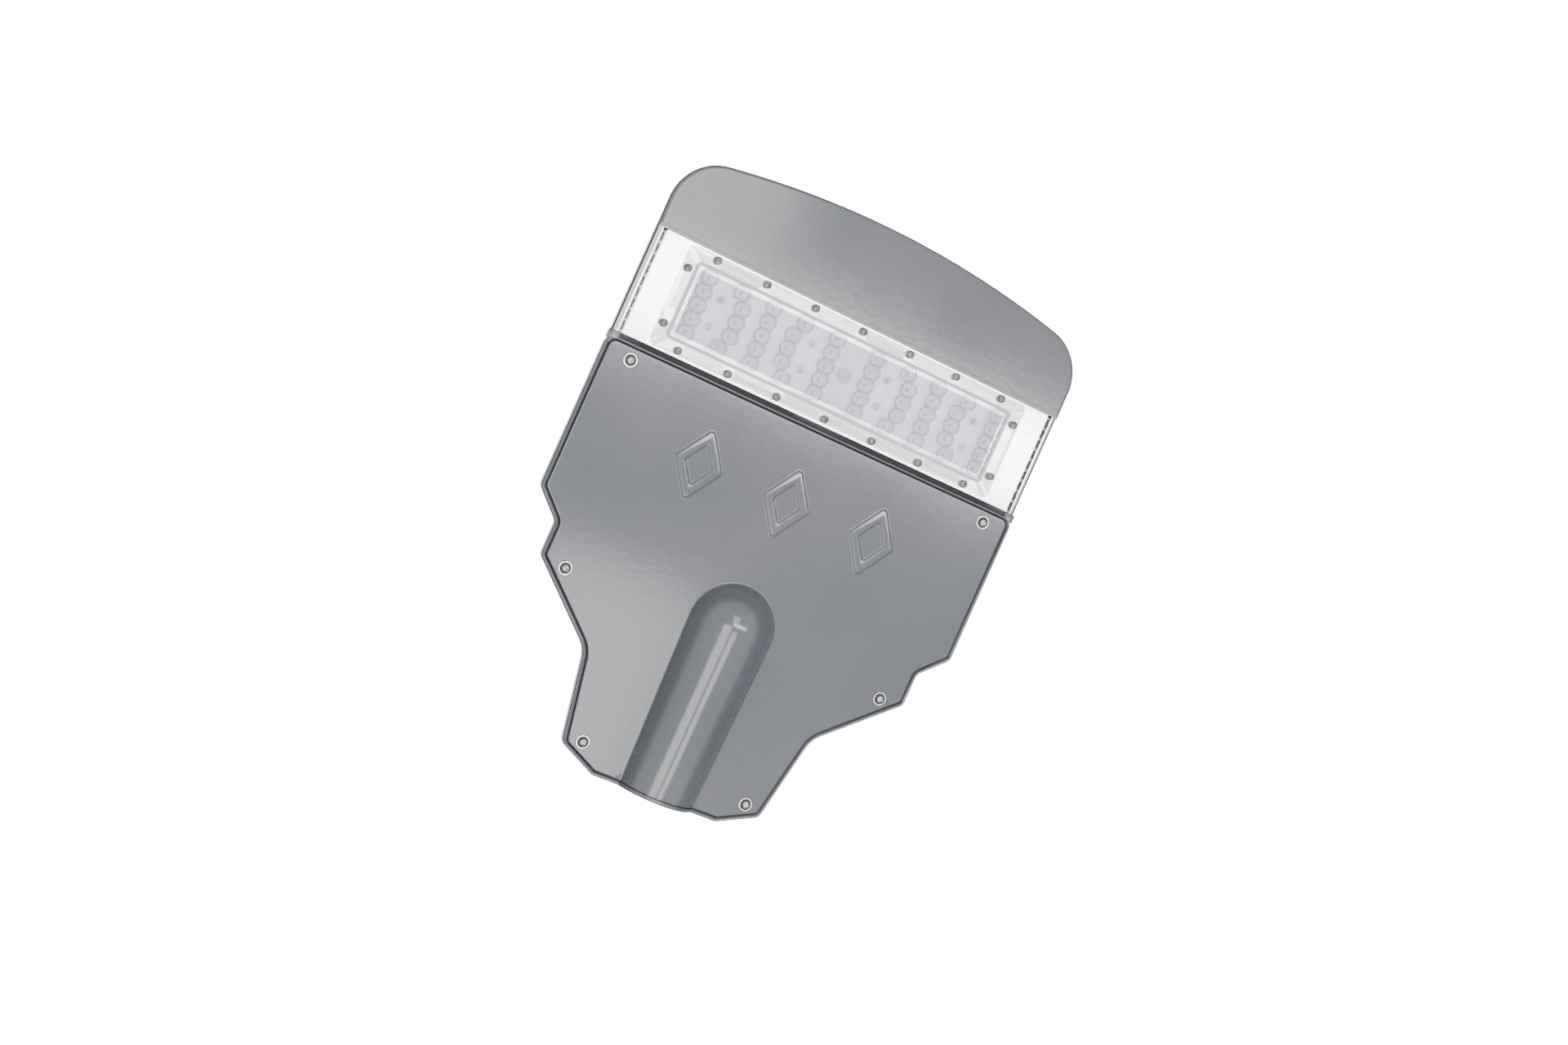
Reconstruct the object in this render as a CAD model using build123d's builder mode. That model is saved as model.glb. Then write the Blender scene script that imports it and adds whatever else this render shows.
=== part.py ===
"""Road lamp head with one LED module, for the end of a 60 mm pole arm.

Millimetres. The lamp is modelled as it hangs in use: the light comes out of its
underside, towards -Z. The origin is the middle of the arm socket's mouth, on the
lamp's rear face, +Y runs towards the nose and +Z is up.
"""

import os
from math import asin, atan2, cos, degrees, radians, sin, sqrt, tan

from build123d import *

# Plan view of the driver compartment, right half, with the rear face at Y 0
half_width = 170.3
shoulder_y = 177.0
notch_step = 20.2
notch_y = 157.5
waist_y = 132.2
neck = (93.7, 82.2)
tail = (80.8, 14.4)
tail_flat = 50.4
front_wall_y = 293.4
front_corner_radius = 8.0
shoulder_radius = 9.0
notch_radius = 6.0
waist_radius = 7.0
neck_radius = 22.0
tail_radius = 8.0
tail_flat_radius = 7.0

# Levels and walls of the compartment
face_z = -16.6
rim_width = 2.9
rim_chamfer = 0.9
shell_wall = 3.0
ledge_width = 8.5
ledge_thickness = 3.0
roof_front_z = 46.0
roof_tail_z = 38.0
roof_cross_radius = 800.0
roof_edge_radius = 6.0
horn_width = 8.8
horn_length = 3.3

# Lid of the compartment and its seal
lid_gap = 1.0
lid_thickness = 3.0
lid_front_shift = 1.0
lid_corner_radius = 5.0
lid_edge_radius = 0.7
lid_lip_thickness = 2.0
lid_lip_height = 7.0
lid_lip_clearance = 0.8
gasket_thickness = 1.5
gasket_clearance = 0.4

# Arm socket and the bulge of the lid under it
arm_radius = 30.5
arm_depth = 128.0
bulge_rear_radius = 33.5
bulge_front_radius = 37.0
bulge_straight_end = 134.6
bulge_wall = 2.2
bulge_blend = 1.6
cradle_rib = 4.0
cradle_rib_count = 4
cradle_first_y = 22.0
cradle_last_y = 118.0
cradle_half_width = 53.0
cradle_foot_z = -3.0
arm_stop = 4.0

# Saddle that clamps the arm
saddle_thickness = 2.2
saddle_length = 30.0
saddle_middle_y = 101.0
saddle_ear_end = 55.0
saddle_bolt_x = 44.0
saddle_bolt_pitch = 14.0
saddle_bolt = 6.0
saddle_bolt_length = 22.0
saddle_bolt_head = 10.0
saddle_bolt_head_height = 4.0
saddle_boss = 13.0

# Raised ornament on the lid: a row of diamond outlines cast into it
mark_pitch = 72.0
mark_count = 3
mark_middle_y = 234.8
mark_length = 56.0
mark_width = 38.0
mark_stroke = 7.0
mark_corner = 3.0
mark_height = 1.0
mark_taper = 35.0

# Lid screws with their washers
lid_screw_corner = (22.3, 12.4)
lid_screw_waist = (20.1, 2.1)
lid_screw_tail = (14.3, 5.7)
lid_screw = 4.0
lid_screw_head = 7.6
lid_screw_head_height = 2.2
lid_screw_length = 14.0
lid_washer = 10.6
lid_washer_thickness = 0.9
lid_spotface_depth = 0.6
lid_boss = 10.0

# LED module between the compartment and the nose cap
module_gap = 0.3
module_depth = 78.7
module_face_inset = 0.4
sink_base = 6.0
fin_height = 32.0
fin_thickness = 2.0
fin_count = 10
rail_gap = 0.3
rail_width = 8.2
rail_top_z = 19.0
rail_step = 2.2
rail_step_width = 1.9
rail_corner_radius = 2.0
rail_wall = 2.4

# Optic plate with its lenses
optic_length = 284.0
optic_width = 75.5
optic_shift = 0.25
optic_corner = 5.0
optic_flange = 2.4
window_length = 268.0
window_width = 58.6
window_rise = 3.0
window_taper = 40.0
window_corner = 4.0
optic_skin = 2.0
pocket_clearance = 1.5
lens_width = 13.0
lens_truncation = 10.1
lens_height = 3.9
lens_rows = 5
lens_row_pitch = 10.45
outer_rows_x = [16.9, 43.5, 69.5, 95.3, 121.4]
inner_rows_x = [16.9, 48.5, 69.5, 90.6, 121.4]
optic_screw_pitch = 40.0
optic_screw_columns = 7
optic_screw_row_pitch = 69.2
optic_side_screw_x = 137.6
optic_side_screw_pitch = 42.1
optic_screw = 3.0
optic_screw_head = 5.8
optic_screw_head_height = 1.9
optic_screw_length = 7.0
land_length = 33.0
land_width = 6.6
land_height = 0.5
land_row_pitch = 65.8
bar_width = 14.0
bar_length = 47.0
bar_height = 0.6
seal_width = 2.4
seal_depth = 1.2
seal_margin = 1.6

# LED board under the optic plate
board_length = 254.0
board_width = 47.6
board_thickness = 1.6
pad_thickness = 0.25
chip_size = 3.5
chip_height = 0.7
board_screw_x = [32.0, 106.9]
board_screw_pitch = 20.5
board_screw = 2.6
board_screw_head = 5.0
board_screw_head_height = 1.1
board_screw_length = 5.5
screw_cap = 8.4
screw_cap_height = 0.6
plug_diameter = 12.0
plug_height = 1.0

# Nose cap
cap_gap = 0.3
cap_side_step = 0.6
nose_y = 447.75
nose_radius = 724.0
nose_corner_radius = 38.0
cap_edge_radius = 2.6
cap_roof_z = 26.0
cap_roof_cross_radius = 4000.0
cap_roof_length_radius = 190.0
cap_roof_ridge_inset = 12.0
cap_roof_edge_radius = 7.0
cap_wall = 3.0
cap_lip_width = 2.4
cap_lip_depth = 0.4
cap_boss = 11.0
cap_boss_length = 26.0
cap_rib_pitch = 38.0
cap_rib_count = 7

# Rods that tie the compartment, the module and the cap together
rod = 5.0
rod_inset = 4.7
rod_levels = [-4.6, 5.0]
rod_grip = 20.0
rod_head = 8.5
rod_head_height = 5.0
lug_width = 16.5
lug_recess = 4.5
lug_top_z = 20.0
middle_lug = 21.5

# Works inside the compartment
tray_length = 204.0
tray_width = 116.0
tray_thickness = 1.5
tray_middle_y = 216.0
tray_z = 27.0
tray_post = 9.0
tray_post_x = 92.0
tray_post_pitch = 96.0
tray_screw = 4.0
tray_screw_head = 7.6
tray_screw_head_height = 2.4
tray_screw_length = 6.0
driver_length = 150.0
driver_width = 58.0
driver_height = 32.0
driver_middle_y = 240.0
driver_corner = 3.0
driver_ear = 10.0
driver_ear_width = 24.0
driver_ear_thickness = 2.5
driver_screw_length = 6.5
block_length = 58.0
block_width = 22.0
block_height = 17.0
block_middle = (-46.0, 181.0)
block_ways = 3
block_way_pitch = 17.0
block_screw = 3.0
block_screw_length = 4.0
block_screw_head = 5.5
block_screw_head_height = 1.8
block_window = (9.0, 7.0)
surge_length = 54.0
surge_width = 30.0
surge_height = 22.0
surge_middle = (48.0, 181.0)
surge_corner = 4.0
earth_screw = 5.0
earth_screw_inset = 44.3
earth_screw_y = 236.0
earth_screw_head = 9.0
earth_screw_head_height = 3.0
earth_screw_length = 9.0
earth_boss = 13.0
earth_boss_z = 16.0

# Lead from the driver to the LED board, with its gland in the front wall
lead = 6.4
lead_bend = 14.0
lead_level = 6.0
gland_thread = 12.0
gland_hex = 15.0
gland_hex_height = 5.0
gland_nut_height = 4.0
lead_slot = 20.0

# Cross recess and crown of the pan head screws, as shares of the head
crown_share = 0.35
crown_spread = 1.6
recess_reach = 0.55
recess_slot_share = 0.14
recess_depth_share = 0.6

# Clearances
thread_clearance = 0.1
hole_clearance = 0.25
drill_run_out = 2.0
cut_margin = 1.0

# Places that follow from the sizes above
notch = (half_width - notch_step, notch_y)
waist = (half_width - notch_step, waist_y)
cap_half_width = half_width - cap_side_step
rail_outer = cap_half_width
rail_inner = rail_outer - rail_width
module_half_length = rail_inner - rail_gap
rod_x = rail_inner - rod_inset
lug_outer_x = half_width - horn_width
lug_inner_x = lug_outer_x - lug_width
earth_screw_spot = (half_width - earth_screw_inset, earth_screw_y)
lid_screw_spots = [
    (half_width - lid_screw_corner[0], front_wall_y + lid_front_shift - lid_screw_corner[1]),
    (waist[0] - lid_screw_waist[0], waist_y - lid_screw_waist[1]),
    (tail[0] - lid_screw_tail[0], tail[1] + lid_screw_tail[1]),
]
lid_inset = rim_width + lid_gap
lid_front_y = front_wall_y + lid_front_shift
lid_inner_z = face_z + lid_thickness
ledge_z = lid_inner_z + gasket_thickness
ledge_inset = rim_width + ledge_width
horn_front_y = front_wall_y + horn_length
module_rear_y = horn_front_y + module_gap
module_front_y = module_rear_y + module_depth
cap_rear_y = module_front_y + cap_gap
module_face_z = face_z + module_face_inset
sink_floor_z = module_face_z + sink_base
optic_y = (module_rear_y + module_front_y) / 2 + optic_shift
optic_face_z = module_face_z - optic_flange
window_face_z = optic_face_z - window_rise
board_face_z = module_face_z - pad_thickness - board_thickness
front_inner_y = front_wall_y - shell_wall
lead_drop_y = optic_y
SIDES = (-1, 1)


def both_sides(spots):
    """Each spot of the right half and its twin of the left half."""
    return [(side * x, y) for side in SIDES for x, y in spots]


def compartment_plan(front, corner, inset):
    """Plan view of the driver compartment, drawn in from its outline by the inset."""
    with BuildSketch() as plan:
        with BuildLine():
            FilletPolyline(
                (0, front),
                (half_width, front),
                (half_width, shoulder_y),
                notch,
                waist,
                neck,
                tail,
                (tail_flat, 0),
                (0, 0),
                radius=[
                    corner,
                    shoulder_radius,
                    notch_radius,
                    waist_radius,
                    neck_radius,
                    tail_radius,
                    tail_flat_radius,
                ],
            )
            mirror(about=Plane.YZ)
        make_face()
        if inset:
            offset(amount=-inset)
    return plan.sketch


def shell_plan(inset):
    """Plan view of the compartment's casting at one inset."""
    return compartment_plan(front_wall_y, front_corner_radius, inset)


def lid_plan(inset):
    """Plan view of the lid's outline, counted inwards from the casting's outline."""
    return compartment_plan(lid_front_y, lid_corner_radius + lid_inset, inset)


def sloping_roof(inset):
    """Block under the compartment's roof, crowned across, its ridge falling to the tail."""
    half = half_width + rim_width
    drop = roof_cross_radius - sqrt(roof_cross_radius**2 - half**2)
    slope = atan2(roof_front_z - roof_tail_z, front_wall_y)
    rise = (cos(slope), sin(slope))
    start = Plane(
        origin=(0, -rim_width, roof_tail_z - inset - rim_width * tan(slope)),
        x_dir=(-1, 0, 0),
        z_dir=(0, rise[0], rise[1]),
    )
    depth = roof_front_z + 3 * abs(face_z)
    with BuildPart() as block:
        with BuildSketch(start):
            with BuildLine():
                ThreePointArc((-half, -drop), (0, 0), (half, -drop))
                Polyline((half, -drop), (half, -depth), (-half, -depth), (-half, -drop))
            make_face()
        extrude(amount=(front_wall_y + 2 * rim_width) / rise[0])
    return block.part


def crowned_block(top, ridge_y, length_radius, cross_radius, half, reach):
    """Block under a roof that is crowned across the lamp and along it."""
    drop = cross_radius - sqrt(cross_radius**2 - half**2)
    bottom = length_radius - top - 3 * abs(face_z)
    half_swing = degrees(asin(reach / length_radius))
    centre = (0, ridge_y, top - length_radius)
    start = Plane(origin=centre, x_dir=(1, 0, 0), z_dir=(0, -1, 0)).rotated((-half_swing, 0, 0))
    rim = length_radius - drop
    with BuildPart() as block:
        with BuildSketch(start):
            with BuildLine():
                ThreePointArc((-half, rim), (0, length_radius), (half, rim))
                Polyline((half, rim), (half, bottom), (-half, bottom), (-half, rim))
            make_face()
        revolve(axis=Axis(centre, (1, 0, 0)), revolution_arc=2 * half_swing)
    return block.part


def compartment_form(inset, floor, edge_radius):
    """Form of the compartment with its crowned roof, drawn in by the inset, above a floor."""
    with BuildPart() as form:
        with BuildSketch(Plane.XY.offset(floor)):
            add(shell_plan(inset))
        extrude(amount=roof_front_z + rim_width - floor)
        add(sloping_roof(inset), mode=Mode.INTERSECT)
        if edge_radius:
            fillet(form.faces().sort_by(Axis.Z)[-1].edges(), edge_radius)
    return form.part


def bulge_radius(y):
    """Outer radius of the lid's bulge at one place along the arm."""
    return bulge_rear_radius + (bulge_front_radius - bulge_rear_radius) * y / bulge_straight_end


def arm_bullet(inset, start):
    """Round-nosed taper that the bulge follows, drawn in by the inset, from a start plane on."""
    front_radius = bulge_front_radius - inset
    taper = (bulge_front_radius - bulge_rear_radius) / bulge_straight_end
    nose_middle = bulge_straight_end + taper * front_radius
    nose = front_radius * sqrt(1 + taper**2)
    bend = radians(45)
    with BuildPart() as bullet:
        with BuildSketch(Plane.YZ):
            with BuildLine():
                Polyline(
                    (nose_middle + nose, 0),
                    (start, 0),
                    (start, bulge_radius(start) - inset),
                    (bulge_straight_end, front_radius),
                )
                ThreePointArc(
                    (bulge_straight_end, front_radius),
                    (nose_middle + nose * sin(bend), nose * cos(bend)),
                    (nose_middle + nose, 0),
                )
            make_face()
        revolve(axis=Axis.Y)
    return bullet.part


def columns(spots, diameter, start, end):
    """Upright round columns between two levels."""
    with BuildPart() as group:
        with BuildSketch(Plane.XY.offset(start)):
            with Locations(*spots):
                Circle(diameter / 2)
        extrude(amount=end - start)
    return group.part


def long_pins(spots, diameter, start, end):
    """Round pins that lie along the lamp, at (X, Z) spots."""
    with BuildPart() as group:
        with BuildSketch(Plane.XZ.offset(-start)):
            with Locations(*spots):
                Circle(diameter / 2)
        extrude(amount=start - end)
    return group.part


def slab(x_range, y_range, z_range):
    """Plain block between two corners, for cutting and building up."""
    with BuildPart() as block:
        with BuildSketch(Plane.XY.offset(z_range[0])):
            with Locations(((x_range[0] + x_range[1]) / 2, (y_range[0] + y_range[1]) / 2)):
                Rectangle(x_range[1] - x_range[0], y_range[1] - y_range[0])
        extrude(amount=z_range[1] - z_range[0])
    return block.part


def pan_screws(spots, seat, diameter, length, head, head_height):
    """Cross-recess pan head screws driven upwards, their heads hanging below the seat."""
    crown = head_height * crown_share
    recess_arm = head * recess_reach
    recess_slot = head * recess_slot_share
    with BuildPart() as group:
        with BuildSketch(Plane.XY.offset(seat)):
            with Locations(*spots):
                Circle(diameter / 2)
        extrude(amount=length)
        with BuildSketch(Plane.XY.offset(seat)):
            with Locations(*spots):
                Circle(head / 2)
        extrude(amount=-head_height)
        chamfer(group.edges().group_by(Axis.Z)[0], crown, crown * crown_spread)
        with BuildSketch(Plane.XY.offset(seat - head_height)):
            with Locations(*spots):
                Rectangle(recess_arm, recess_slot)
                Rectangle(recess_slot, recess_arm)
        extrude(amount=head_height * recess_depth_share, mode=Mode.SUBTRACT)
    return group.part


def edges_at(piece, level):
    """Edges of a piece that lie flat at one level."""
    box_of = [(edge, edge.bounding_box()) for edge in piece.edges()]
    return ShapeList(
        edge
        for edge, box in box_of
        if abs(box.min.Z - level) < 0.01 and abs(box.max.Z - level) < 0.01
    )


def clear_of_cap_rear(edge):
    """Whether an edge of the nose cap stays off its open rear face."""
    return edge.bounding_box().max.Y > cap_rear_y + 0.01


lid_spots = both_sides(lid_screw_spots)
saddle_spots = both_sides(
    [(saddle_bolt_x, saddle_middle_y + side * saddle_bolt_pitch / 2) for side in SIDES]
)
tray_spots = both_sides(
    [(tray_post_x, tray_middle_y + side * tray_post_pitch / 2) for side in SIDES]
)
rod_spots = [(side * rod_x, level) for side in SIDES for level in rod_levels]
driver_spots = [(side * (driver_length + driver_ear) / 2, driver_middle_y) for side in SIDES]


# Upper casting of the driver compartment
with BuildPart() as stiffening:
    add(columns(lid_spots, lid_boss, lid_inner_z, roof_front_z))
    add(columns(saddle_spots, saddle_boss, cradle_foot_z, roof_front_z))
    add(columns(tray_spots, tray_post, tray_z + tray_thickness, roof_front_z))
    add(columns([earth_screw_spot], earth_boss, earth_boss_z, roof_front_z))
    rib_step = (cradle_last_y - cradle_first_y) / (cradle_rib_count - 1)
    for rib in range(cradle_rib_count):
        middle = cradle_first_y + rib * rib_step
        add(
            slab(
                (-cradle_half_width, cradle_half_width),
                (middle - cradle_rib / 2, middle + cradle_rib / 2),
                (cradle_foot_z, roof_front_z),
            )
        )
    add(
        slab(
            (-cradle_half_width, cradle_half_width),
            (arm_depth, arm_depth + arm_stop),
            (ledge_z, roof_front_z),
        )
    )
    add(compartment_form(shell_wall / 2, face_z, 0), mode=Mode.INTERSECT)

with BuildPart() as driver_housing:
    add(compartment_form(0, face_z, roof_edge_radius))
    for side in SIDES:
        horn_edges = sorted((side * half_width, side * lug_outer_x))
        add(slab(horn_edges, (front_inner_y, horn_front_y), (face_z, rail_top_z)))
    chamfer(
        driver_housing.faces().sort_by(Axis.Z)[0].outer_wire().edges(),
        rim_chamfer,
    )
    add(
        compartment_form(shell_wall, ledge_z + ledge_thickness, roof_edge_radius - shell_wall),
        mode=Mode.SUBTRACT,
    )
    with BuildSketch(Plane.XY.offset(ledge_z)):
        add(shell_plan(ledge_inset))
    extrude(amount=2 * ledge_thickness, mode=Mode.SUBTRACT)
    with BuildSketch(Plane.XY.offset(ledge_z)):
        add(lid_plan(rim_width))
    extrude(amount=2 * face_z, mode=Mode.SUBTRACT)
    add(stiffening.part)
    with BuildSketch(Plane.XZ):
        Circle(bulge_rear_radius)
    extrude(amount=-rim_width)
    lug_levels = (face_z + lug_recess, lug_top_z)
    add(slab((-middle_lug, middle_lug), (front_inner_y, module_rear_y), lug_levels))
    for side in SIDES:
        lug_edges = sorted((side * lug_inner_x, side * lug_outer_x))
        add(slab(lug_edges, (front_inner_y, module_rear_y), lug_levels))
    add(long_pins([(0, 0)], 2 * arm_radius, -cut_margin, arm_depth), mode=Mode.SUBTRACT)
    wall_cut = (front_inner_y - cut_margin, module_rear_y + cut_margin)
    add(long_pins(rod_spots, rod + 2 * hole_clearance, *wall_cut), mode=Mode.SUBTRACT)
    add(
        long_pins([(0, lead_level)], gland_thread + 2 * hole_clearance, *wall_cut),
        mode=Mode.SUBTRACT,
    )
    lid_seat = face_z + lid_spotface_depth - lid_washer_thickness
    add(
        columns(
            lid_spots,
            lid_screw + 2 * thread_clearance,
            face_z,
            lid_seat + lid_screw_length + drill_run_out,
        ),
        mode=Mode.SUBTRACT,
    )
    add(
        columns(
            saddle_spots,
            saddle_bolt + 2 * thread_clearance,
            cradle_foot_z - cut_margin,
            cradle_foot_z - saddle_thickness + saddle_bolt_length + drill_run_out,
        ),
        mode=Mode.SUBTRACT,
    )
    add(
        columns(
            tray_spots,
            tray_screw + 2 * thread_clearance,
            tray_z,
            tray_z + tray_screw_length + cut_margin,
        ),
        mode=Mode.SUBTRACT,
    )
    add(
        columns(
            [earth_screw_spot],
            earth_screw + 2 * thread_clearance,
            earth_boss_z - cut_margin,
            earth_boss_z + earth_screw_length + cut_margin,
        ),
        mode=Mode.SUBTRACT,
    )
driver_housing.part.label = "driver_housing"


# Lid under the compartment, with the bulge that clears the arm
with BuildSketch() as mark_outer:
    Polygon((-mark_width / 2, 0), (0, -mark_length / 2), (mark_width / 2, 0), (0, mark_length / 2))
    fillet(mark_outer.vertices(), mark_corner)

with BuildPart() as bulge:
    add(arm_bullet(0, lid_inset))
    split(bisect_by=Plane.XY.offset(lid_inner_z), keep=Keep.BOTTOM)

with BuildPart() as driver_cover:
    with BuildSketch(Plane.XY.offset(face_z)):
        add(lid_plan(lid_inset))
    extrude(amount=lid_thickness)
    add(bulge.part)
    foot = edges_at(driver_cover, face_z).filter_by(
        lambda edge: abs(edge.center().X) < bulge_front_radius
        and bulge_straight_end / 2 < edge.bounding_box().max.Y < mark_middle_y
    )
    fillet(foot, bulge_blend)
    rim = edges_at(driver_cover, face_z).filter_by(
        lambda edge: abs(edge.center().X) > bulge_front_radius
        or edge.center().Y > lid_front_y - 2 * lid_inset
    )
    fillet(rim, lid_edge_radius)
    with BuildSketch(Plane.XY.offset(lid_inner_z)):
        add(shell_plan(ledge_inset + lid_lip_clearance))
        add(shell_plan(ledge_inset + lid_lip_clearance + lid_lip_thickness), mode=Mode.SUBTRACT)
        with Locations(*lid_spots):
            Circle(lid_boss / 2 + lid_lip_clearance, mode=Mode.SUBTRACT)
    extrude(amount=lid_lip_height)
    add(arm_bullet(bulge_wall, -cut_margin), mode=Mode.SUBTRACT)
    with BuildSketch(Plane.XY.offset(face_z)):
        with Locations((0, mark_middle_y)):
            with GridLocations(mark_pitch, 1, mark_count, 1):
                add(mark_outer.sketch)
                add(offset(mark_outer.sketch, amount=-mark_stroke, mode=Mode.PRIVATE), mode=Mode.SUBTRACT)
    extrude(amount=-mark_height, taper=mark_taper)
    with Locations(*[Location((x, y, face_z), (180, 0, 0)) for x, y in lid_spots]):
        CounterBoreHole(
            lid_screw / 2 + hole_clearance,
            lid_washer / 2 + hole_clearance,
            lid_spotface_depth,
        )
driver_cover.part.label = "driver_cover"

# Seal between lid and casting, open where the arm passes
with BuildPart() as cover_gasket:
    with BuildSketch(Plane.XY.offset(lid_inner_z)):
        add(lid_plan(rim_width + gasket_clearance))
        add(shell_plan(ledge_inset), mode=Mode.SUBTRACT)
        with Locations(*lid_spots):
            Circle(lid_boss / 2 + gasket_clearance, mode=Mode.SUBTRACT)
    extrude(amount=gasket_thickness)
    add(arm_bullet(0, -cut_margin), mode=Mode.SUBTRACT)
cover_gasket.part.label = "cover_gasket"

# Lid screws and the flat washers under their heads
washer_face_z = face_z + lid_spotface_depth - lid_washer_thickness
with BuildPart() as cover_washers:
    with BuildSketch(Plane.XY.offset(washer_face_z)):
        with Locations(*lid_spots):
            Circle(lid_washer / 2)
            Circle(lid_screw / 2 + hole_clearance, mode=Mode.SUBTRACT)
    extrude(amount=lid_washer_thickness)
cover_washers.part.label = "cover_washers"

with BuildPart() as cover_screws:
    add(
        pan_screws(
            lid_spots,
            washer_face_z,
            lid_screw,
            lid_screw_length,
            lid_screw_head,
            lid_screw_head_height,
        )
    )
cover_screws.part.label = "cover_screws"

# Saddle under the arm, pressed from steel strip
saddle_edges = (saddle_middle_y - saddle_length / 2, saddle_middle_y + saddle_length / 2)
saddle_outer = arm_radius + saddle_thickness
with BuildPart() as arm_saddle:
    with BuildSketch(Plane.XZ.offset(-saddle_edges[0])):
        Circle(saddle_outer)
        with Locations((0, cradle_foot_z - saddle_thickness / 2)):
            Rectangle(2 * saddle_ear_end, saddle_thickness)
        with Locations((0, cradle_foot_z + saddle_outer)):
            Rectangle(4 * saddle_outer, 2 * saddle_outer, mode=Mode.SUBTRACT)
        Circle(arm_radius, mode=Mode.SUBTRACT)
    extrude(amount=-saddle_length)
    with BuildSketch(Plane.XY.offset(cradle_foot_z)):
        with Locations(*saddle_spots):
            Circle(saddle_bolt / 2 + hole_clearance)
    extrude(amount=-2 * saddle_thickness, mode=Mode.SUBTRACT)
arm_saddle.part.label = "arm_saddle"

with BuildPart() as saddle_bolts:
    with BuildSketch(Plane.XY.offset(cradle_foot_z - saddle_thickness)):
        with Locations(*saddle_spots):
            Circle(saddle_bolt / 2)
    extrude(amount=saddle_bolt_length)
    with BuildSketch(Plane.XY.offset(cradle_foot_z - saddle_thickness)):
        with Locations(*saddle_spots):
            RegularPolygon(saddle_bolt_head / 2, 6, major_radius=False)
    extrude(amount=-saddle_bolt_head_height)
saddle_bolts.part.label = "saddle_bolts"

# Finned heat sink, an extrusion whose fins run across the lamp
fin_step = (module_depth - fin_thickness) / (fin_count - 1)
optic_half_row = optic_screw_row_pitch / 2
optic_spots = [
    ((column - (optic_screw_columns - 1) / 2) * optic_screw_pitch, optic_y + side * optic_half_row)
    for column in range(optic_screw_columns)
    for side in SIDES
] + both_sides(
    [(optic_side_screw_x, optic_y + side * optic_side_screw_pitch / 2) for side in SIDES]
)
board_spots = both_sides(
    [(x, optic_y + side * board_screw_pitch / 2) for x in board_screw_x for side in SIDES]
)
with BuildPart() as heat_sink:
    with BuildSketch(Plane.YZ):
        with Locations(((module_rear_y + module_front_y) / 2, module_face_z + sink_base / 2)):
            Rectangle(module_depth, sink_base)
        for fin in range(fin_count):
            fin_y = module_rear_y + fin_thickness / 2 + fin * fin_step
            with Locations((fin_y, sink_floor_z + fin_height / 2)):
                Rectangle(fin_thickness, fin_height)
    extrude(amount=module_half_length, both=True)
    add(
        slab(
            (-lead_slot / 2, lead_slot / 2),
            (module_rear_y - cut_margin, lead_drop_y + lead_slot / 2),
            (sink_floor_z, sink_floor_z + fin_height + cut_margin),
        ),
        mode=Mode.SUBTRACT,
    )
    add(
        columns(
            [(0, lead_drop_y)],
            lead + 2 * hole_clearance,
            module_face_z - cut_margin,
            sink_floor_z + cut_margin,
        ),
        mode=Mode.SUBTRACT,
    )
    add(
        long_pins(
            rod_spots,
            rod + 2 * hole_clearance,
            module_rear_y - cut_margin,
            module_front_y + cut_margin,
        ),
        mode=Mode.SUBTRACT,
    )
    add(
        columns(
            optic_spots,
            optic_screw + 2 * thread_clearance,
            module_face_z,
            optic_face_z + optic_screw_length + cut_margin,
        ),
        mode=Mode.SUBTRACT,
    )
    add(
        columns(
            board_spots,
            board_screw + 2 * thread_clearance,
            module_face_z,
            board_face_z + board_screw_length + cut_margin / 2,
        ),
        mode=Mode.SUBTRACT,
    )
heat_sink.part.label = "heat_sink"


def side_rail(side):
    """Channel between compartment and cap that closes one end of the module."""
    with BuildPart() as rail:
        with BuildSketch(Plane.XZ.offset(-horn_front_y)):
            with BuildLine():
                Polyline(
                    (rail_inner + rail_step_width, module_face_z),
                    (rail_outer, module_face_z),
                    (rail_outer, rail_top_z),
                    (rail_inner, rail_top_z),
                    (rail_inner, rail_top_z - rail_wall),
                    (rail_outer - rail_wall, rail_top_z - rail_wall),
                    (rail_outer - rail_wall, module_face_z + 2 * rail_step),
                    (rail_inner, module_face_z + 2 * rail_step),
                    (rail_inner, module_face_z + rail_step),
                    (rail_inner + rail_step_width, module_face_z + rail_step),
                    close=True,
                )
            make_face()
        extrude(amount=horn_front_y - cap_rear_y)
        outer_edges = rail.edges().filter_by(Axis.Y).group_by(Axis.X)[-1]
        fillet(outer_edges, rail_corner_radius)
        if side < 0:
            mirror(about=Plane.YZ, mode=Mode.REPLACE)
    return rail.part


with BuildPart() as right_rail:
    add(side_rail(1))
right_rail.part.label = "right_rail"

with BuildPart() as left_rail:
    add(side_rail(-1))
left_rail.part.label = "left_rail"

# Optic plate: flange, raised window, fifty lenses
pocket_length = board_length + 2 * pocket_clearance
pocket_width = board_width + 2 * pocket_clearance
lens_places = [
    (side * x, optic_y + (row - (lens_rows - 1) / 2) * lens_row_pitch)
    for row in range(lens_rows)
    for x in (outer_rows_x if row in (0, lens_rows - 1) else inner_rows_x)
    for side in SIDES
]
lens_sphere = (lens_width**2 / 4 + lens_height**2) / (2 * lens_height)

with BuildPart() as one_lens:
    with BuildSketch(Plane.XZ):
        with BuildLine():
            Polyline(
                (0, -lens_height),
                (0, optic_skin / 2),
                (lens_width / 2, optic_skin / 2),
                (lens_width / 2, 0),
            )
            RadiusArc((lens_width / 2, 0), (0, -lens_height), lens_sphere)
        make_face()
    revolve(axis=Axis.Z)
    with BuildSketch(Plane.XY.offset(optic_skin / 2)):
        Rectangle(2 * lens_width, lens_truncation)
    extrude(amount=-2 * lens_height - optic_skin, mode=Mode.INTERSECT)

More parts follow.
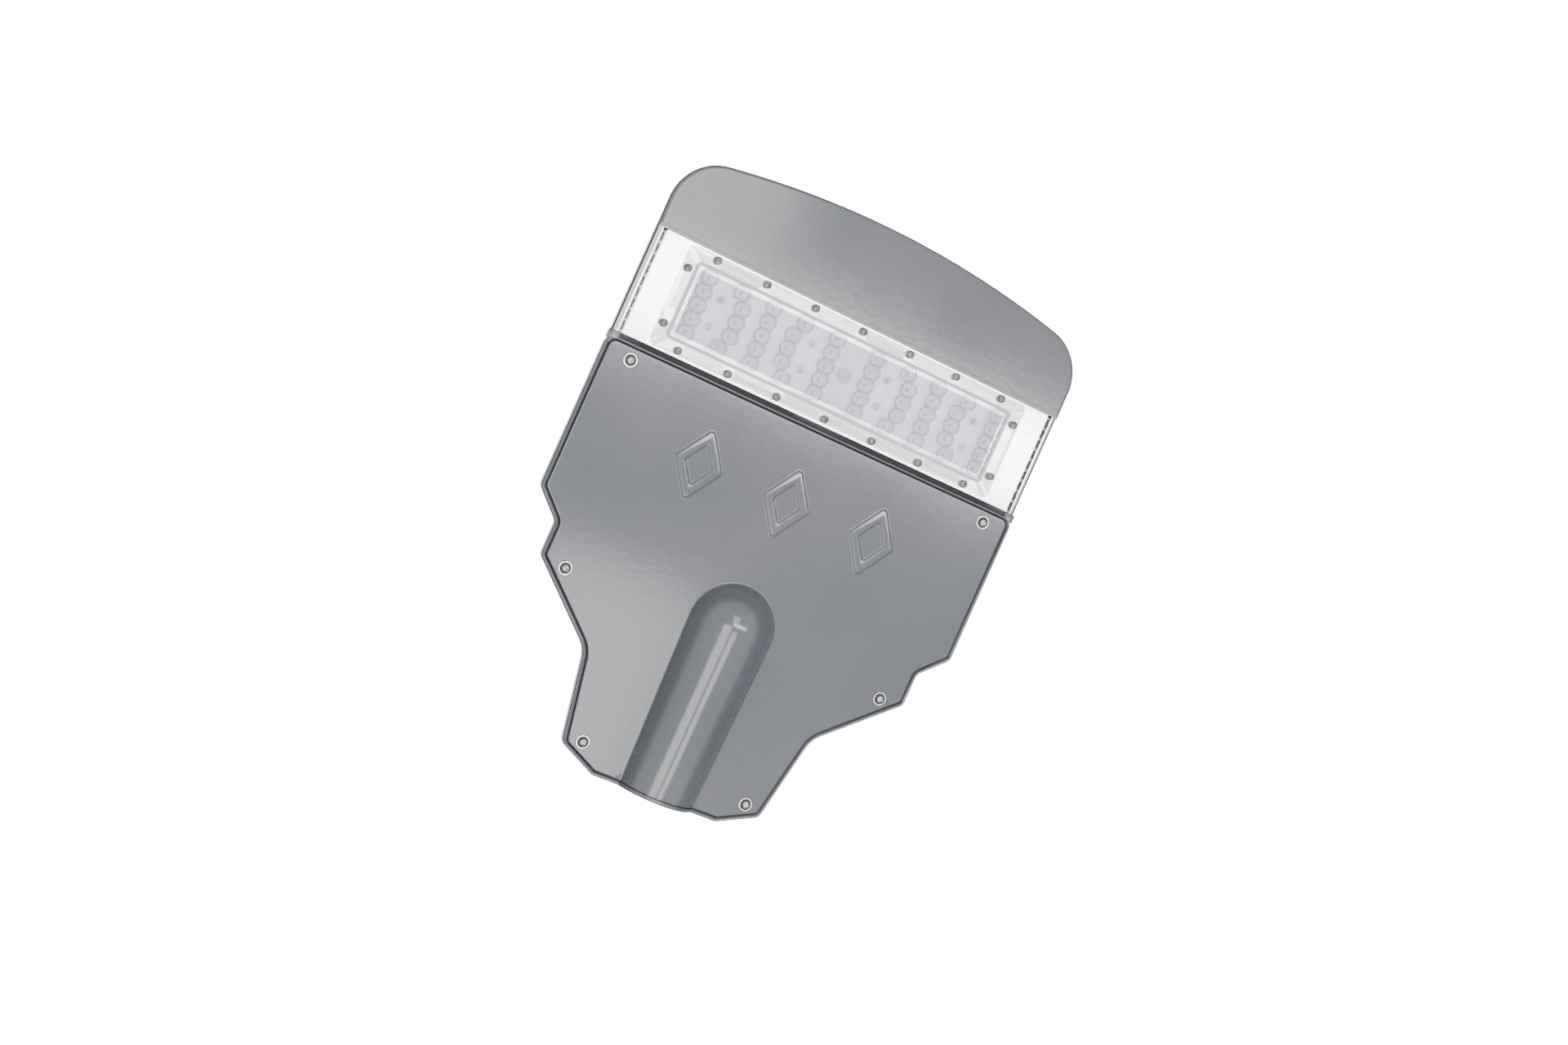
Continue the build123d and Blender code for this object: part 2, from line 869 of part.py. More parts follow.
with BuildPart() as lens_plate:
    with BuildSketch(Plane.XY.offset(module_face_z)):
        with Locations((0, optic_y)):
            RectangleRounded(optic_length, optic_width, optic_corner)
    extrude(amount=-optic_flange)
    with BuildSketch(Plane.XY.offset(optic_face_z)):
        with Locations((0, optic_y)):
            RectangleRounded(window_length, window_width, window_corner)
    extrude(amount=-window_rise, taper=window_taper)
    land_spots = [
        ((column - (optic_screw_columns - 2) / 2) * optic_screw_pitch, optic_y + side * land_row_pitch / 2)
        for column in range(optic_screw_columns - 1)
        for side in SIDES
    ]
    with BuildSketch(Plane.XY.offset(optic_face_z)):
        with Locations(*land_spots):
            SlotOverall(land_length, land_width)
    extrude(amount=-land_height)
    with BuildSketch(Plane.XY.offset(window_face_z)):
        with Locations((0, optic_y)):
            SlotOverall(bar_length, bar_width, rotation=90)
        with Locations(*board_spots):
            Circle(screw_cap / 2)
    extrude(amount=-bar_height)
    with Locations(*[(x, y, window_face_z) for x, y in lens_places]):
        add(one_lens.part)
    with BuildSketch(Plane.XY.offset(module_face_z)):
        with Locations((0, optic_y)):
            RectangleRounded(pocket_length, pocket_width, window_corner - pocket_clearance)
    extrude(amount=window_face_z + optic_skin - module_face_z, mode=Mode.SUBTRACT)
    with BuildSketch(Plane.XY.offset(module_face_z)):
        with Locations((0, optic_y)):
            RectangleRounded(
                pocket_length + 2 * (seal_margin + seal_width),
                pocket_width + 2 * (seal_margin + seal_width),
                window_corner,
            )
            RectangleRounded(
                pocket_length + 2 * seal_margin,
                pocket_width + 2 * seal_margin,
                window_corner - seal_margin,
                mode=Mode.SUBTRACT,
            )
    extrude(amount=-seal_depth, mode=Mode.SUBTRACT)
    add(
        columns(
            optic_spots,
            optic_screw + 2 * hole_clearance,
            optic_face_z - cut_margin,
            module_face_z + cut_margin,
        ),
        mode=Mode.SUBTRACT,
    )
lens_plate.part.label = "lens_plate"

with BuildPart() as lens_gasket:
    with BuildSketch(Plane.XY.offset(module_face_z)):
        with Locations((0, optic_y)):
            RectangleRounded(
                pocket_length + 2 * (seal_margin + seal_width),
                pocket_width + 2 * (seal_margin + seal_width),
                window_corner,
            )
            RectangleRounded(
                pocket_length + 2 * seal_margin,
                pocket_width + 2 * seal_margin,
                window_corner - seal_margin,
                mode=Mode.SUBTRACT,
            )
    extrude(amount=-seal_depth)
lens_gasket.part.label = "lens_gasket"

with BuildPart() as lens_screws:
    add(
        pan_screws(
            optic_spots,
            optic_face_z,
            optic_screw,
            optic_screw_length,
            optic_screw_head,
            optic_screw_head_height,
        )
    )
lens_screws.part.label = "lens_screws"

# Heat pad, LED board and what is on it
with BuildPart() as thermal_pad:
    with BuildSketch(Plane.XY.offset(module_face_z)):
        with Locations((0, optic_y)):
            Rectangle(board_length, board_width)
        with Locations(*board_spots):
            Circle(board_screw / 2 + hole_clearance, mode=Mode.SUBTRACT)
        with Locations((0, lead_drop_y)):
            Circle(lead / 2 + hole_clearance, mode=Mode.SUBTRACT)
    extrude(amount=-pad_thickness)
thermal_pad.part.label = "thermal_pad"

with BuildPart() as led_board:
    with BuildSketch(Plane.XY.offset(module_face_z - pad_thickness)):
        with Locations((0, optic_y)):
            Rectangle(board_length, board_width)
        with Locations(*board_spots):
            Circle(board_screw / 2 + hole_clearance, mode=Mode.SUBTRACT)
        with Locations((0, lead_drop_y)):
            Circle(lead / 2 + hole_clearance, mode=Mode.SUBTRACT)
    extrude(amount=-board_thickness)
led_board.part.label = "led_board"

with BuildPart() as led_chips:
    with BuildSketch(Plane.XY.offset(board_face_z)):
        with Locations(*lens_places):
            Rectangle(chip_size, chip_size)
    extrude(amount=-chip_height)
led_chips.part.label = "led_chips"

with BuildPart() as board_plug:
    with BuildSketch(Plane.XY.offset(board_face_z)):
        with Locations((0, lead_drop_y)):
            Circle(plug_diameter / 2)
    extrude(amount=-plug_height)
board_plug.part.label = "board_plug"

with BuildPart() as board_screws:
    add(
        pan_screws(
            board_spots,
            board_face_z,
            board_screw,
            board_screw_length,
            board_screw_head,
            board_screw_head_height,
        )
    )
board_screws.part.label = "board_screws"


def cap_form(inset, floor):
    """Form of the nose cap drawn in by the inset, above a floor."""
    with BuildPart() as form:
        with BuildSketch(Plane.XY.offset(floor)) as plan:
            with Locations((0, nose_y - nose_radius)):
                Circle(nose_radius - inset)
            with Locations((0, nose_y)):
                Rectangle(2 * (cap_half_width - inset), 2 * (nose_y - cap_rear_y), mode=Mode.INTERSECT)
            fillet(plan.vertices().group_by(Axis.Y)[-1], nose_corner_radius - inset)
        extrude(amount=cap_roof_z + cap_wall - floor)
        add(
            crowned_block(
                cap_roof_z - inset,
                cap_rear_y - cap_roof_ridge_inset,
                cap_roof_length_radius,
                cap_roof_cross_radius,
                cap_half_width + cap_wall,
                nose_y - cap_rear_y + 2 * cap_roof_ridge_inset,
            ),
            mode=Mode.INTERSECT,
        )
    return form.part


# Nose cap, a casting open towards the module
with BuildPart() as cap_bosses:
    add(long_pins(rod_spots, cap_boss, cap_rear_y, nose_y))
    for spot in rod_spots:
        web = sorted((spot[0], spot[0] / abs(spot[0]) * cap_half_width))
        add(
            slab(
                web,
                (cap_rear_y, cap_rear_y + cap_boss_length),
                (spot[1] - cap_wall / 2, spot[1] + cap_wall / 2),
            )
        )
    for rib in range(cap_rib_count):
        rib_x = (rib - (cap_rib_count - 1) / 2) * cap_rib_pitch
        add(
            slab(
                (rib_x - cap_wall / 2, rib_x + cap_wall / 2),
                (cap_rear_y + cap_wall, nose_y),
                (face_z, cap_roof_z),
            )
        )
    add(cap_form(cap_wall / 2, face_z + cap_wall / 2), mode=Mode.INTERSECT)

with BuildPart() as front_cap:
    add(cap_form(0, face_z))
    roof_edges = front_cap.faces().sort_by(Axis.Z)[-1].edges()
    fillet(roof_edges.filter_by(clear_of_cap_rear), cap_roof_edge_radius)
    fillet(edges_at(front_cap, face_z).filter_by(clear_of_cap_rear), cap_edge_radius)
    add(cap_form(cap_wall, face_z + cap_wall), mode=Mode.SUBTRACT)
    add(cap_bosses.part)
    add(
        slab(
            (-cap_half_width, cap_half_width),
            (cap_rear_y, cap_rear_y + cap_lip_width),
            (face_z, face_z + cap_lip_depth),
        ),
        mode=Mode.SUBTRACT,
    )
    add(
        long_pins(
            rod_spots,
            rod + 2 * thread_clearance,
            cap_rear_y - cut_margin,
            cap_rear_y + rod_grip + drill_run_out,
        ),
        mode=Mode.SUBTRACT,
    )
front_cap.part.label = "front_cap"

# Rods with their heads against the inside of the compartment's front wall
with BuildPart() as tie_rods:
    add(long_pins(rod_spots, rod, front_inner_y, cap_rear_y + rod_grip))
    add(long_pins(rod_spots, rod_head, front_inner_y - rod_head_height, front_inner_y))
    with BuildSketch(Plane.XZ.offset(rod_head_height - front_inner_y)):
        with Locations(*rod_spots):
            RegularPolygon(rod / 2, 6)
    extrude(amount=-rod_head_height / 2, mode=Mode.SUBTRACT)
tie_rods.part.label = "tie_rods"

# Gear tray under the roof, and its screws
with BuildPart() as gear_tray:
    with BuildSketch(Plane.XY.offset(tray_z)):
        with Locations((0, tray_middle_y)):
            RectangleRounded(tray_length, tray_width, tray_post / 2)
        with Locations(*tray_spots):
            Circle(tray_screw / 2 + hole_clearance, mode=Mode.SUBTRACT)
        with Locations(*driver_spots):
            Circle(tray_screw / 2 + hole_clearance, mode=Mode.SUBTRACT)
    extrude(amount=tray_thickness)
gear_tray.part.label = "gear_tray"

with BuildPart() as tray_screws:
    add(
        pan_screws(
            tray_spots,
            tray_z,
            tray_screw,
            tray_screw_length,
            tray_screw_head,
            tray_screw_head_height,
        )
    )
tray_screws.part.label = "tray_screws"

# LED driver, hung under the tray by its two ears
with BuildPart() as led_driver:
    with BuildSketch(Plane.XY.offset(tray_z)):
        with Locations((0, driver_middle_y)):
            RectangleRounded(driver_length, driver_width, driver_corner)
    extrude(amount=-driver_height)
    fillet(edges_at(led_driver, tray_z - driver_height), driver_corner / 2)
    with BuildSketch(Plane.XY.offset(tray_z)):
        with Locations((0, driver_middle_y)):
            RectangleRounded(driver_length + 2 * driver_ear, driver_ear_width, driver_corner)
        with Locations(*driver_spots):
            Circle(tray_screw / 2 + hole_clearance, mode=Mode.SUBTRACT)
    extrude(amount=-driver_ear_thickness)
led_driver.part.label = "led_driver"

with BuildPart() as driver_screws:
    add(
        pan_screws(
            driver_spots,
            tray_z - driver_ear_thickness,
            tray_screw,
            driver_screw_length,
            tray_screw_head,
            tray_screw_head_height,
        )
    )
driver_screws.part.label = "driver_screws"

# Terminal block for the supply wires, three ways in one moulding
block_face_z = tray_z - block_height
way_spots = [
    (block_middle[0] + (way - (block_ways - 1) / 2) * block_way_pitch, block_middle[1])
    for way in range(block_ways)
]
with BuildPart() as terminal_block:
    with BuildSketch(Plane.XY.offset(tray_z)):
        with Locations(block_middle):
            Rectangle(block_length, block_width)
    extrude(amount=-block_height)
    with BuildSketch(Plane.XY.offset(block_face_z)):
        with Locations(*way_spots):
            Circle(block_screw_head / 2 + hole_clearance)
    extrude(amount=block_height / 2, mode=Mode.SUBTRACT)
    with BuildSketch(Plane.XY.offset(block_face_z)):
        with Locations(*way_spots):
            Circle(block_screw / 2 + thread_clearance)
    extrude(amount=block_height / 2 + block_screw_length + thread_clearance, mode=Mode.SUBTRACT)
    with BuildSketch(Plane.XZ.offset(-(block_middle[1] - block_width / 2))):
        with Locations(*[(x, tray_z - block_height / 2) for x, _ in way_spots]):
            Rectangle(*block_window)
    extrude(amount=-block_width / 4, mode=Mode.SUBTRACT)
terminal_block.part.label = "terminal_block"

with BuildPart() as terminal_screws:
    add(
        pan_screws(
            way_spots,
            tray_z - block_height / 2,
            block_screw,
            block_screw_length,
            block_screw_head,
            block_screw_head_height,
        )
    )
terminal_screws.part.label = "terminal_screws"

# Surge protector in its potted case
with BuildPart() as surge_protector:
    with BuildSketch(Plane.XY.offset(tray_z)):
        with Locations(surge_middle):
            RectangleRounded(surge_length, surge_width, surge_corner)
    extrude(amount=-surge_height)
    fillet(edges_at(surge_protector, tray_z - surge_height), surge_corner / 2)
surge_protector.part.label = "surge_protector"

with BuildPart() as earth_screw_part:
    add(
        pan_screws(
            [earth_screw_spot],
            earth_boss_z,
            earth_screw,
            earth_screw_length,
            earth_screw_head,
            earth_screw_head_height,
        )
    )
earth_screw_part.part.label = "earth_screw"

# Gland of the lead through the front wall, its nut on the compartment's side
with BuildPart() as module_gland:
    with BuildSketch(Plane.XZ.offset(-module_rear_y)):
        with Locations((0, lead_level)):
            RegularPolygon(gland_hex / 2, 6, major_radius=False)
    extrude(amount=-gland_hex_height)
    add(
        long_pins(
            [(0, lead_level)],
            gland_thread,
            front_inner_y - gland_nut_height - hole_clearance,
            module_rear_y,
        )
    )
    add(
        long_pins(
            [(0, lead_level)],
            lead,
            front_inner_y - 2 * gland_nut_height,
            module_rear_y + 2 * gland_hex_height,
        ),
        mode=Mode.SUBTRACT,
    )
module_gland.part.label = "module_gland"

with BuildPart() as gland_nut:
    with BuildSketch(Plane.XZ.offset(-front_inner_y)):
        with Locations((0, lead_level)):
            RegularPolygon(gland_hex / 2, 6, major_radius=False)
            Circle(gland_thread / 2 + thread_clearance, mode=Mode.SUBTRACT)
    extrude(amount=gland_nut_height)
gland_nut.part.label = "gland_nut"

# Lead from the driver through the gland and down through the heat sink to the board
lead_start_y = driver_middle_y + driver_width / 2
with BuildPart() as module_lead:
    with BuildLine(Plane.YZ):
        FilletPolyline(
            (lead_start_y, lead_level),
            (lead_drop_y, lead_level),
            (lead_drop_y, board_face_z),
            radius=lead_bend,
        )
    with BuildSketch(Plane.XZ.offset(-lead_start_y)):
        with Locations((0, lead_level)):
            Circle(lead / 2)
    sweep()
module_lead.part.label = "module_lead"

os.makedirs("parts", exist_ok=True)
for piece in (
    driver_housing,
    driver_cover,
    cover_gasket,
    cover_washers,
    cover_screws,
    arm_saddle,
    saddle_bolts,
    heat_sink,
    left_rail,
    right_rail,
    lens_plate,
    lens_gasket,
    lens_screws,
    thermal_pad,
    led_board,
    led_chips,
    board_plug,
    board_screws,
    front_cap,
    tie_rods,
    gear_tray,
    tray_screws,
    led_driver,
    driver_screws,
    terminal_block,
    terminal_screws,
    surge_protector,
    earth_screw_part,
    module_gland,
    gland_nut,
    module_lead,
):
    export_step(piece.part, f"parts/{piece.part.label}.step")
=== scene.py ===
"""Looks of a road lamp head with one LED module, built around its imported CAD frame.

Metres, in the frame of the CAD model: the origin is the middle of the arm socket's
mouth, +Y runs to the nose, +Z is up, and the light comes out towards -Z. Sizes in the
classes are millimetres, as a maker gives them, and MM turns them into metres.
"""

import logging
from collections.abc import Callable, Iterable, Sequence
from dataclasses import dataclass, field
from enum import Enum
from math import asin, atan2, cos, hypot, pi, radians, sin, sqrt, tan

import bpy
import bmesh
from mathutils import Matrix, Vector
from mathutils.geometry import delaunay_2d_cdt, tessellate_polygon


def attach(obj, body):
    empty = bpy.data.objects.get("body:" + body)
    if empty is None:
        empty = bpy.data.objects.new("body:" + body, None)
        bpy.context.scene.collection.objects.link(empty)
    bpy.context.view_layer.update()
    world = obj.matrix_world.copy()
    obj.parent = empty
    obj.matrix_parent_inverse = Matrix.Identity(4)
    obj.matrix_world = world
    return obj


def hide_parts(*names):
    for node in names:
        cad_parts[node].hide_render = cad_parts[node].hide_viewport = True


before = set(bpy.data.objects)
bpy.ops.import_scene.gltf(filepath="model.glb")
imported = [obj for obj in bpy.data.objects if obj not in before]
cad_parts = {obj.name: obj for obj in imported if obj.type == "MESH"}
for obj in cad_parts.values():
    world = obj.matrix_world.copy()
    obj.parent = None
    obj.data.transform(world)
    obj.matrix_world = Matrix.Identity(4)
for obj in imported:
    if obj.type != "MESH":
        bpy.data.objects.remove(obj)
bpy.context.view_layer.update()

BODY = "root"
MM = 0.001
SIDES = (-1, 1)
Point = tuple[float, float]
Spot = tuple[float, float, float]
LOG = logging.getLogger("lamp")

# Places that several pieces share: right half of the compartment's plan, screws, faces

PLAN_CORNERS = (
    (50.4, 0.0), (80.8, 14.4), (93.7, 82.2), (150.1, 132.2), (150.1, 157.5), (170.3, 177.0),
)
PLAN_RADII = (7.0, 8.0, 22.0, 7.0, 6.0, 9.0)
LID_SCREWS = ((148.0, 282.0), (130.0, 130.1), (66.5, 20.1))
MODULE_MIDDLE = 336.6
MODULE_FACE = -16.2
PLATE_FACE = -18.6
BOARD_FACE = -18.05
BOARD_SCREWS = (32.0, 106.9)
BOARD_ROW = 10.25


# Mesh building: points closer than the first length in metres merge, edges shorter than the
# second go, and a draped surface keeps its inner points off the border by a share of the pitch

MERGE_REACH = 1e-6
SLIVER = 1e-7
DRAPE_GAP = 0.6


class View(Enum):
    """The two axes that an outline spreads along."""

    LEVEL = (0, 1)
    ACROSS = (0, 2)
    ALONG = (1, 2)


class MeshMaker:
    """Collects vertices in millimetres and faces, and turns them into one object."""

    def __init__(self) -> None:
        """Start with nothing in the mesh."""
        self.vertices: list[Vector] = []
        self.faces: list[tuple[int, ...]] = []

    def ring(self, points: Iterable[Sequence[float]]) -> list[int]:
        """Add a row of points in millimetres and give their indices."""
        start = len(self.vertices)
        self.vertices.extend(Vector(point) for point in points)
        return list(range(start, len(self.vertices)))

    def strip(self, first: Sequence[int], second: Sequence[int], closed: bool) -> None:
        """Join two rows of equal length with quads.

        Args:
            first: Indices of the first row.
            second: Indices of the second row.
            closed: Whether the rows close into rings.
        """
        count = len(first)
        for index in range(count if closed else count - 1):
            after = (index + 1) % count
            self.faces.append((first[index], first[after], second[after], second[index]))

    def strips(self, rings: Sequence[Sequence[int]], closed: bool) -> None:
        """Join each row of a series to the next one."""
        for first, second in zip(rings, rings[1:]):
            self.strip(first, second, closed)

    def loft(self, rows: Iterable[Iterable[Sequence[float]]], view: View = View.LEVEL) -> None:
        """Join closed rows of points in turn and fill both ends.

        Args:
            rows: Points of each row.
            view: Axes that the end rows spread along.
        """
        rings = [self.ring(row) for row in rows]
        self.strips(rings, closed=True)
        for end in (0, -1):
            self.fill(rings[end], view=view)

    def dome(self, rows: Iterable[Iterable[Sequence[float]]], pole: Sequence[float]) -> None:
        """Closed dome: rings from the foot upwards, a pole and a flat underside.

        Args:
            rows: Points of each ring.
            pole: Place of the pole.
        """
        rings = [self.ring(row) for row in rows]
        self.strips(rings, closed=True)
        last, top = rings[-1], self.ring([pole])[0]
        for index, corner in enumerate(last):
            self.faces.append((corner, last[(index + 1) % len(last)], top))
        self.faces.append(tuple(rings[0]))

    def fill(
        self, outer: Sequence[int], holes: Sequence[Sequence[int]] = (), view: View = View.LEVEL
    ) -> None:
        """Fill a flat outline that may have holes.

        Args:
            outer: Indices around the outline.
            holes: Indices around each hole.
            view: Axes that the outline spreads along.
        """
        first, second = view.value
        loops = [list(outer), *[list(hole) for hole in holes]]
        order = [index for loop in loops for index in loop]
        points = self.vertices
        flat = [[Vector((points[i][first], points[i][second], 0)) for i in loop] for loop in loops]
        for triangle in tessellate_polygon(flat):
            self.faces.append(tuple(order[corner] for corner in triangle))

    def drape(self, loop: Sequence[int], height: Callable[[float, float], float], pitch: float) -> None:
        """Cover the inside of a loop with a curved surface.

        Args:
            loop: Indices around the surface.
            height: Height of the surface at each place.
            pitch: Distance between the points inside the loop.
        """
        border = [Vector((self.vertices[i].x, self.vertices[i].y)) for i in loop]
        low = [min(point[axis] for point in border) for axis in (0, 1)]
        high = [max(point[axis] for point in border) for axis in (0, 1)]
        counts = [int((high[axis] - low[axis]) / pitch) for axis in (0, 1)]
        inside = [
            Vector((low[0] + pitch * (column + 0.5), low[1] + pitch * (row + 0.5)))
            for column in range(counts[0])
            for row in range(counts[1])
        ]
        gap = pitch * DRAPE_GAP
        free = [point for point in inside if min((point - edge).length for edge in border) > gap]
        count = len(border)
        edges = [(i, (i + 1) % count) for i in range(count)]
        whole = [list(range(count))]
        places, _, faces, origin, _, _ = delaunay_2d_cdt([*border, *free], edges, whole, 1, 1e-6)
        chosen = []
        for place, sources in zip(places, origin):
            known = [source for source in sources if source < count]
            if known:
                chosen.append(loop[known[0]])
            else:
                chosen.append(self.ring([(place.x, place.y, height(place.x, place.y))])[0])
        self.faces.extend(tuple(chosen[corner] for corner in face) for face in faces)

    def build(self, name: str, crease: float = 35.0) -> bpy.types.Object:
        """Make the object, with smooth faces and creases at sharp edges.

        Args:
            name: The object's name.
            crease: Angle in degrees past which an edge is sharp.

        Returns:
            The new object, linked to the scene.
        """
        mesh = bpy.data.meshes.new(name)
        mesh.from_pydata([vertex * MM for vertex in self.vertices], [], self.faces)
        edit = bmesh.new()
        edit.from_mesh(mesh)
        bmesh.ops.remove_doubles(edit, verts=edit.verts, dist=MERGE_REACH)
        bmesh.ops.dissolve_degenerate(edit, edges=edit.edges, dist=SLIVER)
        bmesh.ops.recalc_face_normals(edit, faces=edit.faces)
        edit.to_mesh(mesh)
        edit.free()
        return link(name, mesh, crease)


def link(name: str, mesh: bpy.types.Mesh, crease: float = 35.0) -> bpy.types.Object:
    """Put a mesh into the scene as a smooth object with creased sharp edges."""
    mesh.shade_smooth()
    mesh.set_sharp_from_angle(angle=radians(crease))
    made = bpy.data.objects.new(name, mesh)
    bpy.context.scene.collection.objects.link(made)
    return made


def node_copy(
    node: str, name: str, crease: float = 28.0, shape: Callable[[bmesh.types.BMesh], None] | None = None
) -> bpy.types.Object:
    """Copy a CAD node's triangles, merge them and shade them smoothly.

    Args:
        node: The CAD node to copy.
        name: The new object's name.
        crease: Angle in degrees past which an edge is sharp.
        shape: Change to the merged triangles, if any.

    Returns:
        The new object, which stands for the node.
    """
    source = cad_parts[node]
    edit = bmesh.new()
    edit.from_mesh(source.data)
    edit.transform(source.matrix_world)
    bmesh.ops.remove_doubles(edit, verts=edit.verts, dist=2 * MERGE_REACH)
    if shape:
        shape(edit)
    else:
        bmesh.ops.dissolve_limit(
            edit, angle_limit=radians(0.5), verts=edit.verts, edges=edit.edges, delimit={"NORMAL"}
        )
    mesh = bpy.data.meshes.new(name)
    edit.to_mesh(mesh)
    edit.free()
    made = link(name, mesh, crease)
    weighted = made.modifiers.new("Flat faces stay flat", "WEIGHTED_NORMAL")
    weighted.keep_sharp = True
    weighted.weight = 100
    return frozen(made)


def frozen(piece: bpy.types.Object) -> bpy.types.Object:
    """Replace an object's mesh by the outcome of its modifiers, and drop them."""
    graph = bpy.context.evaluated_depsgraph_get()
    mesh = bpy.data.meshes.new_from_object(piece.evaluated_get(graph), depsgraph=graph)
    mesh.name = piece.name
    piece.modifiers.clear()
    piece.data = mesh
    return piece


def dress(piece: bpy.types.Object, finish: "Finish", *nodes: str) -> None:
    """Give a finished piece its material and body, and hide the CAD nodes that it replaces.

    Args:
        piece: The finished piece.
        finish: Its finish, which names the record's material slot.
        nodes: The CAD nodes that the piece replaces.
    """
    piece.data.materials.clear()
    piece.data.materials.append(finish.material())
    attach(piece, BODY)
    if nodes:
        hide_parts(*nodes)
    LOG.info("%s: %d faces", piece.name, len(piece.data.polygons))


def even(start: float, end: float, count: int) -> list[float]:
    """Values at even steps from one end to the other, both included."""
    return [start + (end - start) * step / count for step in range(count + 1)]


def arc_steps(count: int, start: float = 0.0, end: float = 90.0) -> list[Point]:
    """Cosine and sine at even steps between two angles in degrees."""
    return [(cos(radians(angle)), sin(radians(angle))) for angle in even(start, end, count)]


def soft_corner(x: float, z: float, size: float, count: int, side: int = 1) -> list[Point]:
    """Quarter round of a section, from the upright edge at x to the level edge at z.

    Args:
        x: Place of the upright edge.
        z: Height of the level edge, the lower one.
        size: Radius of the round.
        count: Number of steps.
        side: Side of the upright edge that the level edge lies on, 1 or -1.

    Returns:
        Place and height of each point.
    """
    return [(x + side * size * (1 - c), z + size * (1 - s)) for c, s in arc_steps(count)]


def circle(centre: Point, radius: float, z: float, count: int) -> list[Vector]:
    """Points around a level circle."""
    return [
        Vector((centre[0] + radius * cos(turn), centre[1] + radius * sin(turn), z))
        for turn in even(0.0, 2 * pi, count)[:-1]
    ]


def both_sides(columns: Iterable[float], row: float, z: float) -> list[Spot]:
    """Spots left and right of the lamp's axis, behind and before the module's middle."""
    return [(side * x, MODULE_MIDDLE + end * row, z) for x in columns for side in SIDES for end in SIDES]


class Outline:
    """Closed outline of straight runs and rounded corners, run counterclockwise or clockwise."""

    def __init__(self, corners: Sequence[Point], radii: Sequence[float], step: float = 5.0) -> None:
        """Work out the points and outward normals.

        Args:
            corners: Corner points in order.
            radii: One corner radius for each point.
            step: Angle in degrees from point to point on a round corner.
        """
        self.points: list[Vector] = []
        self.normals: list[Vector] = []
        after_each = [*corners[1:], corners[0]]
        area = sum(one[0] * two[1] - two[0] * one[1] for one, two in zip(corners, after_each))
        turn = 1 if area > 0 else -1
        for index, (corner, radius) in enumerate(zip(corners, radii)):
            before = (Vector(corner) - Vector(corners[index - 1])).normalized()
            after = (Vector(after_each[index]) - Vector(corner)).normalized()
            bend = -before.angle_signed(after)
            start = Vector(corner) - before * radius * tan(abs(bend) / 2)
            side = 1 if bend > 0 else -1
            centre = start + Vector((-before.y, before.x)) * side * radius
            arm = start - centre
            for swing in even(0.0, bend, max(2, round(abs(bend) / radians(step)))):
                turned = Vector(
                    (arm.x * cos(swing) - arm.y * sin(swing), arm.x * sin(swing) + arm.y * cos(swing))
                )
                self.points.append(centre + turned)
                self.normals.append(turned.normalized() * (side * turn))

    def inset(self, distance: float, z: float) -> list[Vector]:
        """Points of the outline drawn in by a distance, at one level."""
        return [
            Vector((point.x - normal.x * distance, point.y - normal.y * distance, z))
            for point, normal in zip(self.points, self.normals)
        ]


def rounded_ring(half_x: float, half_y: float, radius: float, middle_y: float, z: float) -> list[Vector]:
    """Points around a level rectangle with round corners, on the lamp's axis."""
    right = [(half_x, middle_y + end * half_y) for end in SIDES]
    placed = [*right, *[(-x, y) for x, y in reversed(right)]]
    return Outline(placed, [radius] * len(placed), step=15.0).inset(0.0, z)


# Nodes and the finishes


class Sockets(Enum):
    """Kinds of socket that the node groups use."""

    NUMBER = "NodeSocketFloat"
    COLOUR = "NodeSocketColor"
    VECTOR = "NodeSocketVector"
    WHOLE = "NodeSocketInt"
    SHAPE = "NodeSocketObject"
    MATERIAL = "NodeSocketMaterial"
    MESH = "NodeSocketGeometry"


MOTTLE_INPUTS = {
    "Position": Sockets.VECTOR,
    "Patch Scale": Sockets.NUMBER,
    "Grain Scale": Sockets.NUMBER,
    "Dark": Sockets.COLOUR,
    "Light": Sockets.COLOUR,
    "Smooth": Sockets.NUMBER,
    "Rough": Sockets.NUMBER,
}
PATCH_BAND = (0.35, 0.65)
GRAIN_BAND = (0.1, 0.4)
SPOT_INPUTS = {
    "Spots": Sockets.MESH,
    "Shape": Sockets.SHAPE,
    "Turn": Sockets.NUMBER,
    "Seed": Sockets.WHOLE,
    "Material": Sockets.MATERIAL,
}


def new_group(
    name: str, kind: str, inputs: dict[str, Sockets], outputs: dict[str, Sockets]
) -> tuple[bpy.types.NodeTree, bpy.types.Node, bpy.types.Node]:
    """Start a node group with named sockets.

    Args:
        name: The group's name.
        kind: Type of the node tree.
        inputs: Kind of each input by its name.
        outputs: Kind of each output by its name.

    Returns:
        The group, its input node and its output node.
    """
    group = bpy.data.node_groups.new(name, kind)
    for way, sockets in (("INPUT", inputs), ("OUTPUT", outputs)):
        for label, socket in sockets.items():
            group.interface.new_socket(label, in_out=way, socket_type=socket.value)
    return group, group.nodes.new("NodeGroupInput"), group.nodes.new("NodeGroupOutput")


def put_in(tree: bpy.types.NodeTree, socket: bpy.types.NodeSocket, value: object) -> None:
    """Link a socket to an input, or set the input to a plain value."""
    if isinstance(value, bpy.types.NodeSocket):
        tree.links.new(value, socket)
    else:
        socket.default_value = value


def add_node(tree: bpy.types.NodeTree, kind: str, **inputs: object) -> bpy.types.Node:
    """Add a node and feed its inputs.

    Args:
        tree: The node tree.
        kind: The node's type.
        inputs: Socket or value for each input, by its name with _ for a space.

    Returns:
        The node.
    """
    node = tree.nodes.new(kind)
    for label, value in inputs.items():
        put_in(tree, node.inputs[label.replace("_", " ")], value)
    return node


